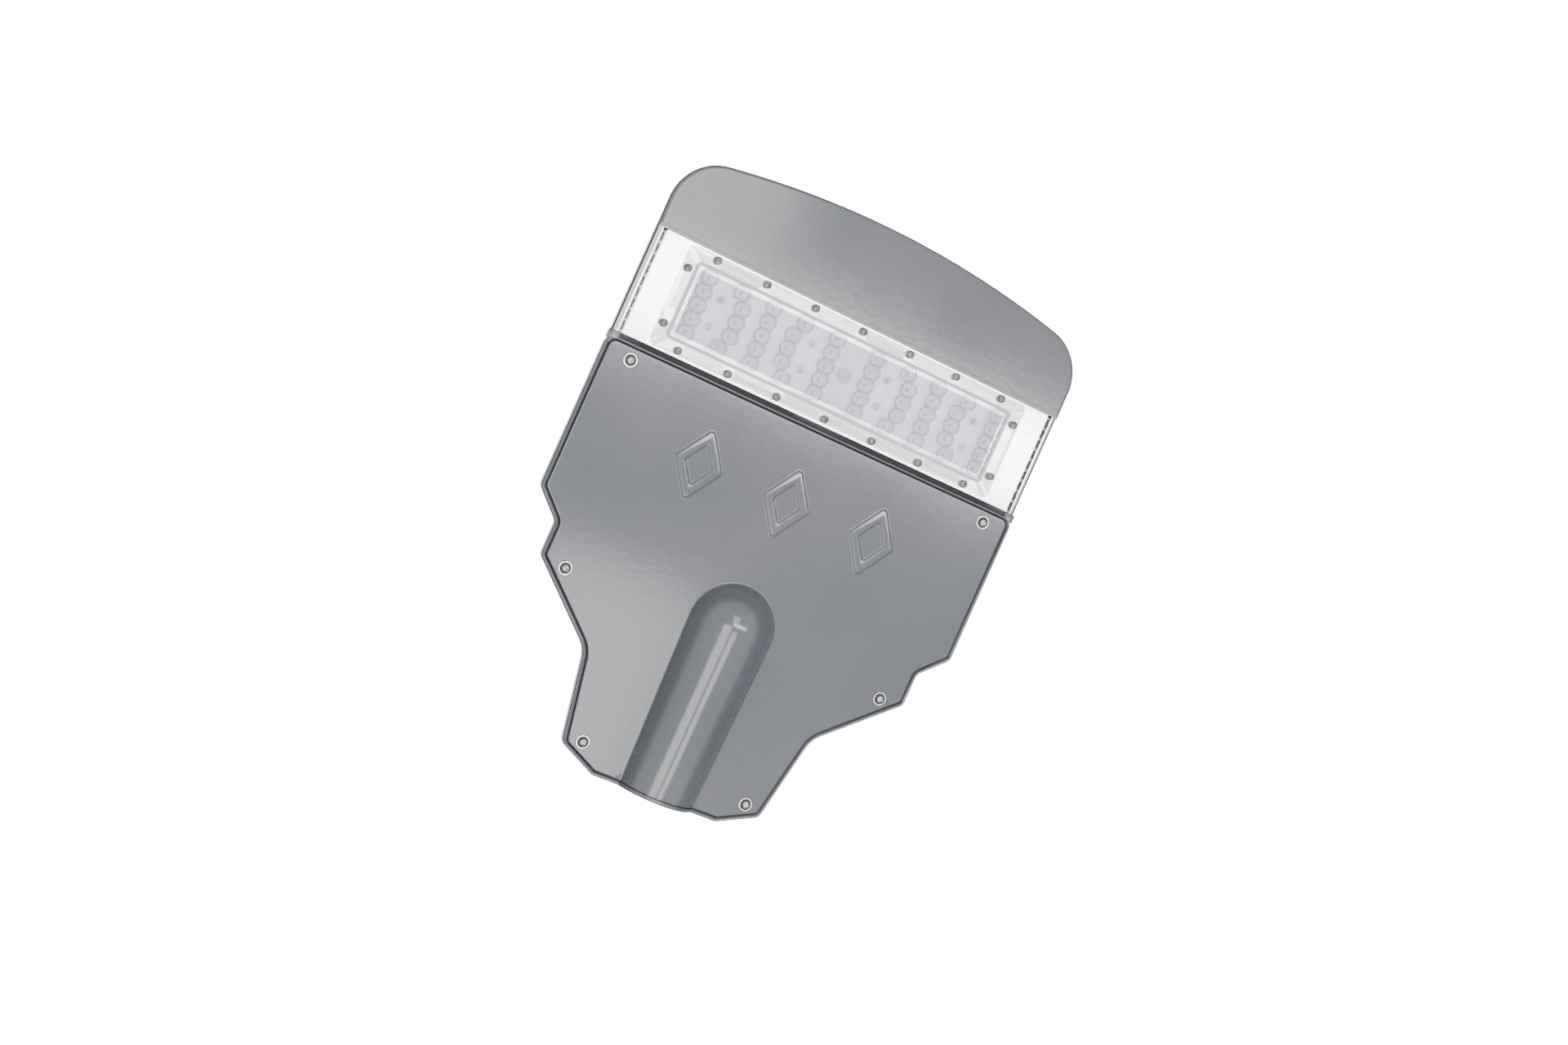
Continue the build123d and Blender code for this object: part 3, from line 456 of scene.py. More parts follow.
def add_range(
    tree: bpy.types.NodeTree, value: bpy.types.NodeSocket, source: Point, target: Sequence[object]
) -> bpy.types.NodeSocket:
    """Map a value from one range to another, clamped; the target's ends may be sockets."""
    ends = dict(zip(("From_Min", "From_Max", "To_Min", "To_Max"), (*source, *target)))
    return add_node(tree, "ShaderNodeMapRange", Value=value, **ends).outputs["Result"]


def add_math(tree: bpy.types.NodeTree, operation: str, *values: object) -> bpy.types.NodeSocket:
    """One step of arithmetic on sockets or numbers."""
    node = tree.nodes.new("ShaderNodeMath")
    node.operation = operation
    for socket, value in zip(node.inputs, values):
        put_in(tree, socket, value)
    return node.outputs[0]


def mottle_group() -> bpy.types.NodeTree:
    """Slow and fine variation of colour and roughness over a surface, made once."""
    name = "Mottle"
    if name in bpy.data.node_groups:
        return bpy.data.node_groups[name]
    outputs = {"Colour": Sockets.COLOUR, "Roughness": Sockets.NUMBER}
    group, given, put = new_group(name, "ShaderNodeTree", MOTTLE_INPUTS, outputs)
    given = given.outputs
    noise, place = "ShaderNodeTexNoise", given["Position"]
    patches = add_node(group, noise, Vector=place, Scale=given["Patch Scale"], Detail=4.0, Roughness=0.55)
    grain = add_node(group, noise, Vector=place, Scale=given["Grain Scale"], Detail=2.0, Roughness=0.5)
    mix = group.nodes.new("ShaderNodeMix")
    mix.data_type = "RGBA"
    put_in(group, mix.inputs["Factor"], add_range(group, patches.outputs["Fac"], PATCH_BAND, (0.0, 1.0)))
    for label, colour in (("A", given["Dark"]), ("B", given["Light"])):
        put_in(group, next(s for s in mix.inputs if s.name == label and s.type == "RGBA"), colour)
    put_in(group, put.inputs["Colour"], next(s for s in mix.outputs if s.type == "RGBA"))
    product = add_math(group, "MULTIPLY", patches.outputs["Fac"], grain.outputs["Fac"])
    blend = add_range(group, product, GRAIN_BAND, (given["Smooth"], given["Rough"]))
    put_in(group, put.inputs["Roughness"], blend)
    return group


@dataclass(frozen=True)
class Finish:
    """A surface finish: mottled colour and roughness with a fine relief.

    Attributes:
        slot: The record's material slot.
        dark: Linear colour of the darker patches.
        light: Linear colour of the lighter patches.
        smooth: Lowest roughness.
        rough: Highest roughness.
        metallic: Metallic value of the shader.
        patch_mm: Size of a colour patch.
        grain_mm: Size of the fine grain.
        relief_mm: Height of the fine relief.
        relief_wave_mm: Wavelength of the relief.
        stretch: Stretch of the pattern along X, Y and Z.
        look: Name of the look, where it differs from the slot.
        ior: Refractive index, which sets how strong the gloss is.
    """

    slot: str
    dark: tuple[float, float, float]
    light: tuple[float, float, float]
    smooth: float = 0.3
    rough: float = 0.45
    metallic: float = 0.0
    patch_mm: float = 60.0
    grain_mm: float = 1.2
    relief_mm: float = 0.01
    relief_wave_mm: float = 3.0
    stretch: tuple[float, float, float] = (1.0, 1.0, 1.0)
    look: str = ""
    ior: float = 1.5

    def material(self) -> bpy.types.Material:
        """Build the material once, and give the same one after that."""
        name = f"{self.look or self.slot}_look"
        return bpy.data.materials.get(name) or self.build(name)

    def build(self, name: str) -> bpy.types.Material:
        """Make the material's nodes.

        Args:
            name: The material's name.

        Returns:
            The new material.
        """
        made = bpy.data.materials.new(name)
        made.use_nodes = True
        tree = made.node_tree
        where = tree.nodes.new("ShaderNodeTexCoord").outputs["Object"]
        place = add_node(tree, "ShaderNodeMapping", Scale=self.stretch, Vector=where).outputs["Vector"]
        mottle = tree.nodes.new("ShaderNodeGroup")
        mottle.node_tree = mottle_group()
        scales = (1 / (self.patch_mm * MM), 1 / (self.grain_mm * MM))
        colours = ((*self.dark, 1.0), (*self.light, 1.0))
        for label, value in zip(MOTTLE_INPUTS, (place, *scales, *colours, self.smooth, self.rough)):
            put_in(tree, mottle.inputs[label], value)
        wave = 1 / (self.relief_wave_mm * MM)
        peel = add_node(tree, "ShaderNodeTexNoise", Vector=place, Scale=wave, Detail=2.0, Roughness=0.4)
        bump = add_node(tree, "ShaderNodeBump", Distance=self.relief_mm * MM, Height=peel.outputs["Fac"])
        shader = tree.nodes["Principled BSDF"]
        for label, value in (
            ("Base Color", mottle.outputs["Colour"]),
            ("Roughness", mottle.outputs["Roughness"]),
            ("Normal", bump.outputs["Normal"]),
            ("Metallic", self.metallic),
            ("IOR", self.ior),
        ):
            put_in(tree, shader.inputs[label], value)
        return made


@dataclass(frozen=True)
class ClearFinish(Finish):
    """A clear moulded plastic that lets the board show through.

    Attributes:
        alpha: How much of the surface hides what lies behind, seen head on.
        edge_alpha: The same, seen at a grazing angle.
        blend: How soon the grazing value takes over.
    """

    alpha: float = 0.25
    edge_alpha: float = 0.8
    blend: float = 0.35

    def build(self, name: str) -> bpy.types.Material:
        """Make the material and set how much it lets through."""
        made = super().build(name)
        tree = made.node_tree
        facing = add_node(tree, "ShaderNodeLayerWeight", Blend=self.blend).outputs["Facing"]
        hidden = add_range(tree, facing, (0.0, 1.0), (self.alpha, self.edge_alpha))
        put_in(tree, tree.nodes["Principled BSDF"].inputs["Alpha"], hidden)
        return made


CAST_PAINT = Finish(
    "cast_paint", (0.089, 0.096, 0.112), (0.107, 0.113, 0.128), 0.12, 0.17, patch_mm=120, relief_mm=0.03,
    relief_wave_mm=5.0, ior=1.65,
)
BARE_ALUMINIUM = Finish(
    "bare_aluminium", (0.86, 0.87, 0.88), (0.93, 0.93, 0.94), 0.14, 0.22, metallic=0.9, patch_mm=30,
    relief_mm=0.003, relief_wave_mm=0.5, stretch=(0.1, 1.0, 1.0),
)
RAIL_ALUMINIUM = Finish(
    "bare_aluminium", (0.88, 0.89, 0.9), (0.94, 0.94, 0.95), 0.08, 0.14, metallic=1.0, patch_mm=30,
    relief_mm=0.002, relief_wave_mm=0.5, stretch=(1.0, 0.1, 1.0), look="rail_aluminium",
)
CLEAR_OPTIC = ClearFinish(
    "clear_optic", (0.86, 0.88, 0.94), (0.93, 0.94, 0.98), 0.05, 0.1, relief_mm=0.004, alpha=0.16,
    edge_alpha=0.35, blend=0.4,
)
# Lens domes: clear head on, opaque dark blue-grey at grazing angles; the dark rim is painted shade for
# the dark edge that refraction gives a clear lens.
LENS_SHADED_RIM = ClearFinish(
    "clear_optic", (0.2, 0.27, 0.42), (0.28, 0.35, 0.49), 0.03, 0.06, relief_mm=0.002, alpha=0.0,
    edge_alpha=1.0, blend=0.45, look="lens_glass",
)
# Black rubber of the gaskets and the lead; the same black makes the painted shade of the joint strip and
# the rings under the lid washers.
BLACK_RUBBER_AND_SHADE = Finish("black_rubber", (0.012, 0.012, 0.013), (0.02, 0.02, 0.021), 0.6, 0.75)
PALE_SEAL = Finish("black_rubber", (0.5, 0.53, 0.6), (0.6, 0.62, 0.68), 0.4, 0.5, look="pale_seal")
BRIGHT_STEEL = Finish(
    "bright_steel", (0.55, 0.55, 0.53), (0.68, 0.67, 0.65), 0.16, 0.3, metallic=1.0, patch_mm=4,
    relief_mm=0.006, relief_wave_mm=0.8,
)
SCREW_STEEL = Finish(
    "bright_steel", (0.2, 0.19, 0.17), (0.34, 0.33, 0.31), 0.18, 0.32, metallic=1.0, patch_mm=4,
    relief_mm=0.006, relief_wave_mm=0.8, look="screw_steel",
)
ZINC_STEEL = Finish(
    "zinc_steel", (0.5, 0.51, 0.53), (0.62, 0.63, 0.66), 0.28, 0.42, metallic=1.0, patch_mm=9,
    relief_wave_mm=1.5,
)
HEAT_PAD = Finish("heat_pad", (0.3, 0.38, 0.45), (0.36, 0.44, 0.5), 0.6, 0.7)
WHITE_BOARD = Finish("white_board", (0.74, 0.77, 0.98), (0.82, 0.85, 1.0), 0.25, 0.35, patch_mm=25)
LED_BODY = Finish("white_board", (0.8, 0.81, 0.84), (0.88, 0.88, 0.9), 0.3, 0.4, look="led_body")
LED_PHOSPHOR = Finish("led_phosphor", (0.85, 0.1, 0.04), (0.92, 0.22, 0.08), 0.35, 0.5, patch_mm=2)
GREY_SILICONE = Finish("grey_silicone", (0.2, 0.21, 0.23), (0.28, 0.29, 0.31), 0.5, 0.6)
DRIVER_CASE = Finish("driver_case", (0.1, 0.1, 0.11), (0.14, 0.14, 0.15), 0.4, 0.5)
BLOCK_PLASTIC = Finish("block_plastic", (0.72, 0.72, 0.7), (0.8, 0.8, 0.78), 0.4, 0.5)
SURGE_CASE = Finish("surge_case", (0.4, 0.04, 0.03), (0.5, 0.06, 0.05), 0.35, 0.45)
BRASS_PLATED = Finish("brass_plated", (0.55, 0.53, 0.46), (0.64, 0.62, 0.54), 0.22, 0.35, metallic=1.0)
FLOOR_GREY = Finish("floor", (0.78, 0.78, 0.78), (0.82, 0.82, 0.82), 0.7, 0.8, patch_mm=900)

# CAD nodes whose own shape is kept

NODE_FINISHES = {
    BARE_ALUMINIUM: ["heat_sink"],
    BLACK_RUBBER_AND_SHADE: ["cover_gasket", "module_lead"],
    PALE_SEAL: ["lens_gasket"],
    BRIGHT_STEEL: ["tray_screws", "driver_screws", "terminal_screws"],
    ZINC_STEEL: ["arm_saddle", "saddle_bolts", "tie_rods", "gear_tray"],
    HEAT_PAD: ["thermal_pad"],
    WHITE_BOARD: ["led_board"],
    GREY_SILICONE: ["board_plug"],
    DRIVER_CASE: ["led_driver"],
    BLOCK_PLASTIC: ["terminal_block"],
    SURGE_CASE: ["surge_protector"],
    BRASS_PLATED: ["earth_screw", "module_gland", "gland_nut"],
}


@dataclass(frozen=True)
class SoftBox:
    """Level soft box under the lamp that shines upwards.

    Attributes:
        name: Its name.
        middle: Place of its middle, in metres.
        size: Its width along X and length along Y, in metres.
        level: Brightness of its face.
    """

    name: str
    middle: Point
    size: Point
    level: float


@dataclass
class Studio:
    """Soft studio light, pale floor far below the hanging lamp, and the camera.

    Attributes:
        card_fade: Steepness of a direction where the dark band at the horizon ends and has ended.
    """

    camera_place: Spot = (0.4325, 0.2337, -1.3071)
    camera_right: Spot = (-0.8659, 0.4080, -0.2893)
    camera_up: Spot = (0.3839, 0.9129, 0.1384)
    lens_mm: float = 43.125
    sensor_mm: float = 36.0
    floor_z: float = -1.75
    floor_size: float = 5.0
    surround: float = 2.4
    backdrop: float = 16.0
    card_fade: Point = (0.3, 0.75)
    card_level: float = 0.1
    box_z: float = -1.5
    boxes: tuple[SoftBox, ...] = (
        SoftBox("tail_box", (-0.30, -0.25), (0.3, 0.6), 6.5),
        SoftBox("nose_box", (-0.12, 0.80), (0.4, 0.45), 5.5),
        SoftBox("arm_box", (0.24, -0.15), (0.5, 0.9), 6.0),
        SoftBox("plate_box", (-0.5, 0.46), (0.95, 0.13), 18.0),
    )

    def build(self) -> None:
        """Make everything around the lamp."""
        self.make_camera()
        self.make_floor()
        self.make_surroundings()
        for box in self.boxes:
            self.make_box(box)

    def make_camera(self) -> None:
        """Camera at the photograph's viewing angle."""
        data = bpy.data.cameras.new("camera")
        data.lens = self.lens_mm
        data.sensor_width = self.sensor_mm
        data.sensor_fit = "HORIZONTAL"
        data.clip_start = 0.01
        made = bpy.data.objects.new("camera", data)
        right = Vector(self.camera_right).normalized()
        back = right.cross(Vector(self.camera_up)).normalized()
        up = back.cross(right).normalized()
        turn = Matrix((right, up, back)).transposed().to_4x4()
        made.matrix_world = Matrix.Translation(Vector(self.camera_place)) @ turn
        bpy.context.scene.collection.objects.link(made)
        bpy.context.scene.camera = made

    def make_floor(self) -> None:
        """Plain pale floor."""
        maker = MeshMaker()
        half, level = self.floor_size / 2 / MM, self.floor_z / MM
        corners = [(-half, -half, level), (half, -half, level), (half, half, level), (-half, half, level)]
        maker.faces.append(tuple(maker.ring(corners)))
        floor = maker.build("floor")
        floor.data.materials.append(FLOOR_GREY.material())

    def make_surroundings(self) -> None:
        """Bright surroundings with a dark band at the horizon, and a white backdrop."""
        world = bpy.data.worlds.new("studio")
        bpy.context.scene.world = world
        world.use_nodes = True
        tree = world.node_tree
        where = tree.nodes.new("ShaderNodeTexCoord").outputs["Generated"]
        height = add_node(tree, "ShaderNodeSeparateXYZ", Vector=where).outputs["Z"]
        steep = add_math(tree, "ABSOLUTE", height)
        light = add_range(tree, steep, self.card_fade, (self.card_level, self.surround))
        seen = tree.nodes.new("ShaderNodeLightPath").outputs["Is Camera Ray"]
        choice = tree.nodes.new("ShaderNodeMix")
        for index, value in ((0, seen), (2, light), (3, self.backdrop)):
            put_in(tree, choice.inputs[index], value)
        background = tree.nodes["Background"]
        put_in(tree, background.inputs["Color"], (1.0, 1.0, 1.0, 1.0))
        put_in(tree, background.inputs["Strength"], choice.outputs[0])

    def make_box(self, box: SoftBox) -> None:
        """Set up one level soft box that shines upwards."""
        data = bpy.data.lights.new(box.name, "AREA")
        data.shape = "RECTANGLE"
        data.size, data.size_y = box.size
        data.energy = box.level * pi * box.size[0] * box.size[1]
        made = bpy.data.objects.new(box.name, data)
        made.location = (*box.middle, self.box_z)
        made.rotation_euler = (pi, 0.0, 0.0)
        bpy.context.scene.collection.objects.link(made)


# The lamp's pieces


@dataclass
class LeaningWalls:
    """Lean of the compartment's side walls, which draw in on their way up from the rim.

    Attributes:
        start: Level where the lean begins.
        lean: How far a wall draws in for each millimetre of height.
        core: Half width of the middle part that stays as it is.
        tail_run: Length at the tail over which the lean grows to its full measure.
    """

    start: float = -10.6
    lean: float = 0.25
    core: float = 40.0
    tail_run: float = 14.4

    def half_width(self, y: float) -> float:
        """Half width of the plan at one place along the lamp."""
        for (low, first), (high, second) in zip(PLAN_CORNERS, PLAN_CORNERS[1:]):
            if y <= second:
                return low + (high - low) * max(0.0, (y - first) / (second - first))
        return PLAN_CORNERS[-1][0]

    def __call__(self, edit: bmesh.types.BMesh) -> None:
        """Split the walls at the start level and draw in what lies above it."""
        bmesh.ops.bisect_plane(
            edit,
            geom=[*edit.verts, *edit.edges, *edit.faces],
            dist=SLIVER,
            plane_co=(0, 0, self.start * MM),
            plane_no=(0, 0, 1),
        )
        for vertex in edit.verts:
            x, y, z = (value / MM for value in vertex.co)
            rise = z - self.start
            if rise <= 0 or abs(x) <= self.core:
                continue
            share = (abs(x) - self.core) / (self.half_width(y) - self.core)
            shift = self.lean * rise * share * min(1.0, max(0.0, y) / self.tail_run)
            vertex.co.x -= shift * MM * (1 if x > 0 else -1)


@dataclass
class SideRail:
    """Bright channel at one end of the module: groove, face, round outer edge, leaning side."""

    inner: float = 161.5
    outer: float = 169.7
    rear: float = 296.7
    front: float = 376.0
    end_hold: float = 0.25
    face: float = MODULE_FACE
    top: float = 19.0
    top_edge: Point = (0.6, 1.0)
    groove: float = 2.9
    groove_depth: float = 9.0
    edge_round: float = 4.4
    soft: float = 0.35
    lean: float = 0.2
    web: float = 2.4
    side_web: float = 3.4
    top_web: float = 9.6

    def section(self) -> list[Point]:
        """Section of the right rail as places across the lamp and heights."""
        lip = self.inner + self.groove
        floor = self.face + self.groove_depth
        points = [(self.inner, floor), (lip - self.soft, floor), (lip, floor - self.soft)]
        points += soft_corner(lip, self.face, self.soft, 4)
        size = self.edge_round
        centre, low = self.outer - size, self.face + size
        points += [(centre + size * c, low + size * s) for c, s in arc_steps(8, -90, 0)]
        shoulder = self.top - self.top_edge[1]
        side = self.outer - self.lean * (shoulder - low)
        points += [
            (side, shoulder),
            (side - self.top_edge[0], self.top),
            (self.inner, self.top),
            (self.inner, self.top - self.top_web),
            (self.outer - self.side_web, floor + self.web),
            (self.inner, floor + self.web),
        ]
        return points

    def build(self, side: int) -> bpy.types.Object:
        """Make the rail of one side.

        Args:
            side: 1 for the right end of the module, -1 for the left one.

        Returns:
            The rail's object.
        """
        maker = MeshMaker()
        stations = (self.rear, self.rear + self.end_hold, self.front - self.end_hold, self.front)
        maker.loft([[(side * x, y, z) for x, z in self.section()] for y in stations], View.ACROSS)
        return maker.build("right_rail_profile" if side > 0 else "left_rail_profile", crease=40.0)


@dataclass
class Lid:
    """Lid of the compartment: flat casting with the arm bulge, raised outlines and screw seats."""

    inset: float = 3.9
    front: float = 294.4
    front_radius: float = 8.9
    face: float = -16.6
    thickness: float = 3.0
    edge_round: float = 0.7
    edge_rest: float = 0.4
    hold: float = 0.6
    bulge_rear: float = 33.5
    bulge_front: float = 37.0
    bulge_end: float = 134.6
    bulge_wall: float = 2.2
    foot_round: float = 1.6
    rear_corner: float = 46.0
    rear_shares: tuple[float, ...] = (0.0, 0.12, 0.3, 0.55)
    fade_share: float = 0.3
    mark_middle: float = 234.8
    mark_pitch: float = 72.0
    mark_half: Point = (19.0, 28.0)
    mark_corner: float = 3.0
    mark_stroke: float = 7.0
    mark_height: float = 1.0
    mark_slope: float = 1.3
    mark_foot: float = 0.6
    seat_radius: float = 5.55
    seat_depth: float = 0.6
    seat_soft: float = 0.15
    seat_hold: float = 0.5
    seat_sides: int = 40
    stations: int = 20
    nose_steps: int = 40
    arc_count: int = 22
    maker: MeshMaker = field(default_factory=MeshMaker)

    def __post_init__(self) -> None:
        """Work out the bulge's taper and its round nose, which is tangent to it."""
        self.taper = (self.bulge_front - self.bulge_rear) / self.bulge_end
        self.nose_middle = self.bulge_end + self.taper * self.bulge_front
        self.nose_radius = self.bulge_front * sqrt(1 + self.taper**2)
        half = [*PLAN_CORNERS, (PLAN_CORNERS[-1][0], self.front)]
        radii = [*PLAN_RADII, self.front_radius]
        corners = [*[(-x, y) for x, y in half], *reversed(half)]
        self.outline = Outline(corners, [*radii, *reversed(radii)])

    def build(self) -> bpy.types.Object:
        """Make the lid's closed shell."""
        outer_rows = self.bulge_rows(0.0, self.face, self.foot_round)
        inner_rows = self.bulge_rows(self.bulge_wall, self.face + self.thickness, 0.0)
        rim = self.edge_rows(*(self.maker.vertices[rows[0][0]].x for rows in (outer_rows, inner_rows)))
        holes = [*self.marks(), *self.seats()]
        self.maker.fill([*rim[0], *reversed(self.foot_path(outer_rows))], holes)
        self.maker.fill([*rim[-1], *reversed(self.foot_path(inner_rows))])
        self.maker.strips(rim, closed=False)
        self.maker.fill([*outer_rows[0], *reversed(inner_rows[0])], view=View.ACROSS)
        return self.maker.build("lid", crease=30.0)

    def radius(self, y: float) -> float:
        """Outer radius of the bulge at one place along the arm."""
        if y <= self.bulge_end:
            return self.bulge_rear + self.taper * y
        return sqrt(self.nose_radius**2 - (y - self.nose_middle) ** 2)

    def half_section(self, radius: float, level: float, blend: float) -> list[Point]:
        """Section of the bulge from its foot on the flat up to its ridge.

        Args:
            radius: Radius of the bulge here.
            level: Height of the flat that it stands on.
            blend: Radius of the round at the foot.

        Returns:
            Distance from the axis plane and height of each point.
        """
        reach, drop = radius + blend, blend - level
        start = asin(drop / reach)
        points = []
        if blend:
            middle = sqrt(reach**2 - drop**2)
            points.append((middle + self.hold, level))
            for angle in even(pi / 2, start, 5)[:-1]:
                points.append((middle - blend * cos(angle), -drop + blend * sin(angle)))
        points += [(radius * cos(a), -radius * sin(a)) for a in even(start, pi / 2, self.arc_count)]
        return points

    def bulge_rows(self, inset: float, level: float, blend: float) -> list[list[int]]:
        """Skin of the bulge.

        Args:
            inset: How far the skin lies inside the outer one.
            level: Height of the flat that it stands on.
            blend: Radius of the round at its foot.

        Returns:
            The rows across the bulge, and after them the half rows around the nose.
        """
        rows = []
        for y in even(self.inset, self.nose_middle, self.stations):
            half = self.half_section(self.radius(y) - inset, level, blend)
            points = [(x, y, z) for x, z in half] + [(-x, y, z) for x, z in reversed(half[:-1])]
            rows.append(self.maker.ring(points))
        self.maker.strips(rows, closed=False)
        half = self.half_section(self.nose_radius - inset, level, blend)
        last = rows[-1]
        crown = last[len(half) - 1]
        around = [last[: len(half)]]
        for angle in even(0.0, pi, self.nose_steps)[1:-1]:
            flank = [(x * cos(angle), self.nose_middle + x * sin(angle), z) for x, z in half[:-1]]
            around.append([*self.maker.ring(flank), crown])
        around.append(list(reversed(last[len(half) - 1 :])))
        for first, second in zip(around, around[1:]):
            self.maker.strip(first[:-1], second[:-1], closed=False)
            self.maker.faces.append((first[-2], second[-2], crown))
        return rows + around[1:-1]

    def foot_path(self, rows: list[list[int]]) -> list[int]:
        """Foot of a skin from the right rear end around the nose to the left rear end."""
        across, nose = rows[: self.stations + 1], rows[self.stations + 1 :]
        left = [row[-1] for row in reversed(across)]
        return [*[row[0] for row in across], *[row[0] for row in nose], *left]

    def edge_rows(self, foot_outer: float, foot_inner: float) -> list[list[int]]:
        """Rows around the lid's edge, from the flat face over the round to the inner face.

        Args:
            foot_outer: Place of the outer skin's foot at the rear edge.
            foot_inner: Place of the inner skin's foot there.

        Returns:
            The rows, open at the bulge.
        """
        back = self.face + self.thickness
        profile = [(self.edge_round + self.hold, self.face)]
        profile += reversed(soft_corner(0.0, self.face, self.edge_round, 4))
        profile += [(0.0, back - self.edge_rest), (0.0, back)]
        rows = []
        for index, (distance, level) in enumerate(profile):
            foot = foot_inner if index == len(profile) - 1 else foot_outer
            ring = self.outline.inset(self.inset + distance, level)
            rear = [self.rear_point(share, foot, distance, level) for share in self.rear_shares]
            left = [Vector((-point.x, point.y, point.z)) for point in rear]
            rows.append(self.maker.ring([*left, *ring, *reversed(rear)]))
        return rows

    def rear_point(self, share: float, foot: float, distance: float, level: float) -> Vector:
        """Point on the rear edge, where the edge round fades out towards the bulge.

        Args:
            share: How far it lies from the foot towards the rear corner.
            foot: Place of the bulge's foot.
            distance: How far the row is drawn in.
            level: Height of the row away from the bulge.

        Returns:
            The point on the right side.
        """
        fade = 1.0 if level > self.face + self.edge_round else min(1.0, share / self.fade_share)
        x = foot + (self.rear_corner - foot) * share
        return Vector((x, self.inset + distance * fade, self.face + (level - self.face) * fade))

    def marks(self) -> list[list[int]]:
        """Make the raised diamond outlines and give the foot of each one."""
        loops = []
        half_x, half_y = self.mark_half
        share = 1 - self.mark_stroke * hypot(half_x, half_y) / (half_x * half_y)
        for column in (-1, 0, 1):
            outer = self.mark_wall(column * self.mark_pitch, 1.0, self.mark_corner, 1)
            inner = self.mark_wall(column * self.mark_pitch, share, self.mark_corner / 2, -1)
            self.maker.fill(outer[-1], [inner[-1]])
            self.maker.fill(inner[0])
            loops.append(outer[0])
        return loops

    def mark_wall(self, x: float, share: float, corner: float, side: int) -> list[list[int]]:
        """Soft wall of a mark that rises from the flat.

        Args:
            x: Place of the mark's middle across the lamp.
            share: Size of the outline as a share of the mark.
            corner: Corner radius.
            side: 1 for the outer wall, -1 for the inner one.

        Returns:
            Rows of the wall, the lowest first.
        """
        half_x, half_y = (size * share for size in self.mark_half)
        corners = [(0.0, -half_y), (half_x, 0.0), (0.0, half_y), (-half_x, 0.0)]
        placed = [(x + across, self.mark_middle + along) for across, along in corners]
        shape = Outline(placed, [corner] * len(placed), step=12.0)
        rows = [self.maker.ring(shape.inset(-side * 2 * self.mark_foot, self.face))]
        for part in even(0.0, 1.0, 8):
            rise = part * part * (3 - 2 * part)
            distance = side * ((self.mark_slope + self.mark_foot) * part - self.mark_foot)
            rows.append(self.maker.ring(shape.inset(distance, self.face - self.mark_height * rise)))
        self.maker.strips(rows, closed=True)
        return rows

    def seats(self) -> list[list[int]]:
        """Sink the round seats of the washers into the face and give the rim of each one."""
        soft = self.seat_soft
        profile = [(self.seat_hold, 0.0), (soft, 0.0), (0.0, soft), (0.0, self.seat_depth)]
        loops = []
        for side in SIDES:
            for x, y in LID_SCREWS:
                rings = [
                    circle((side * x, y), self.seat_radius + wider, self.face + depth, self.seat_sides)
                    for wider, depth in profile
                ]
                rows = [self.maker.ring(ring) for ring in rings]
                self.maker.strips(rows, closed=True)
                self.maker.faces.append(tuple(rows[-1]))
                loops.append(rows[0])
        return loops


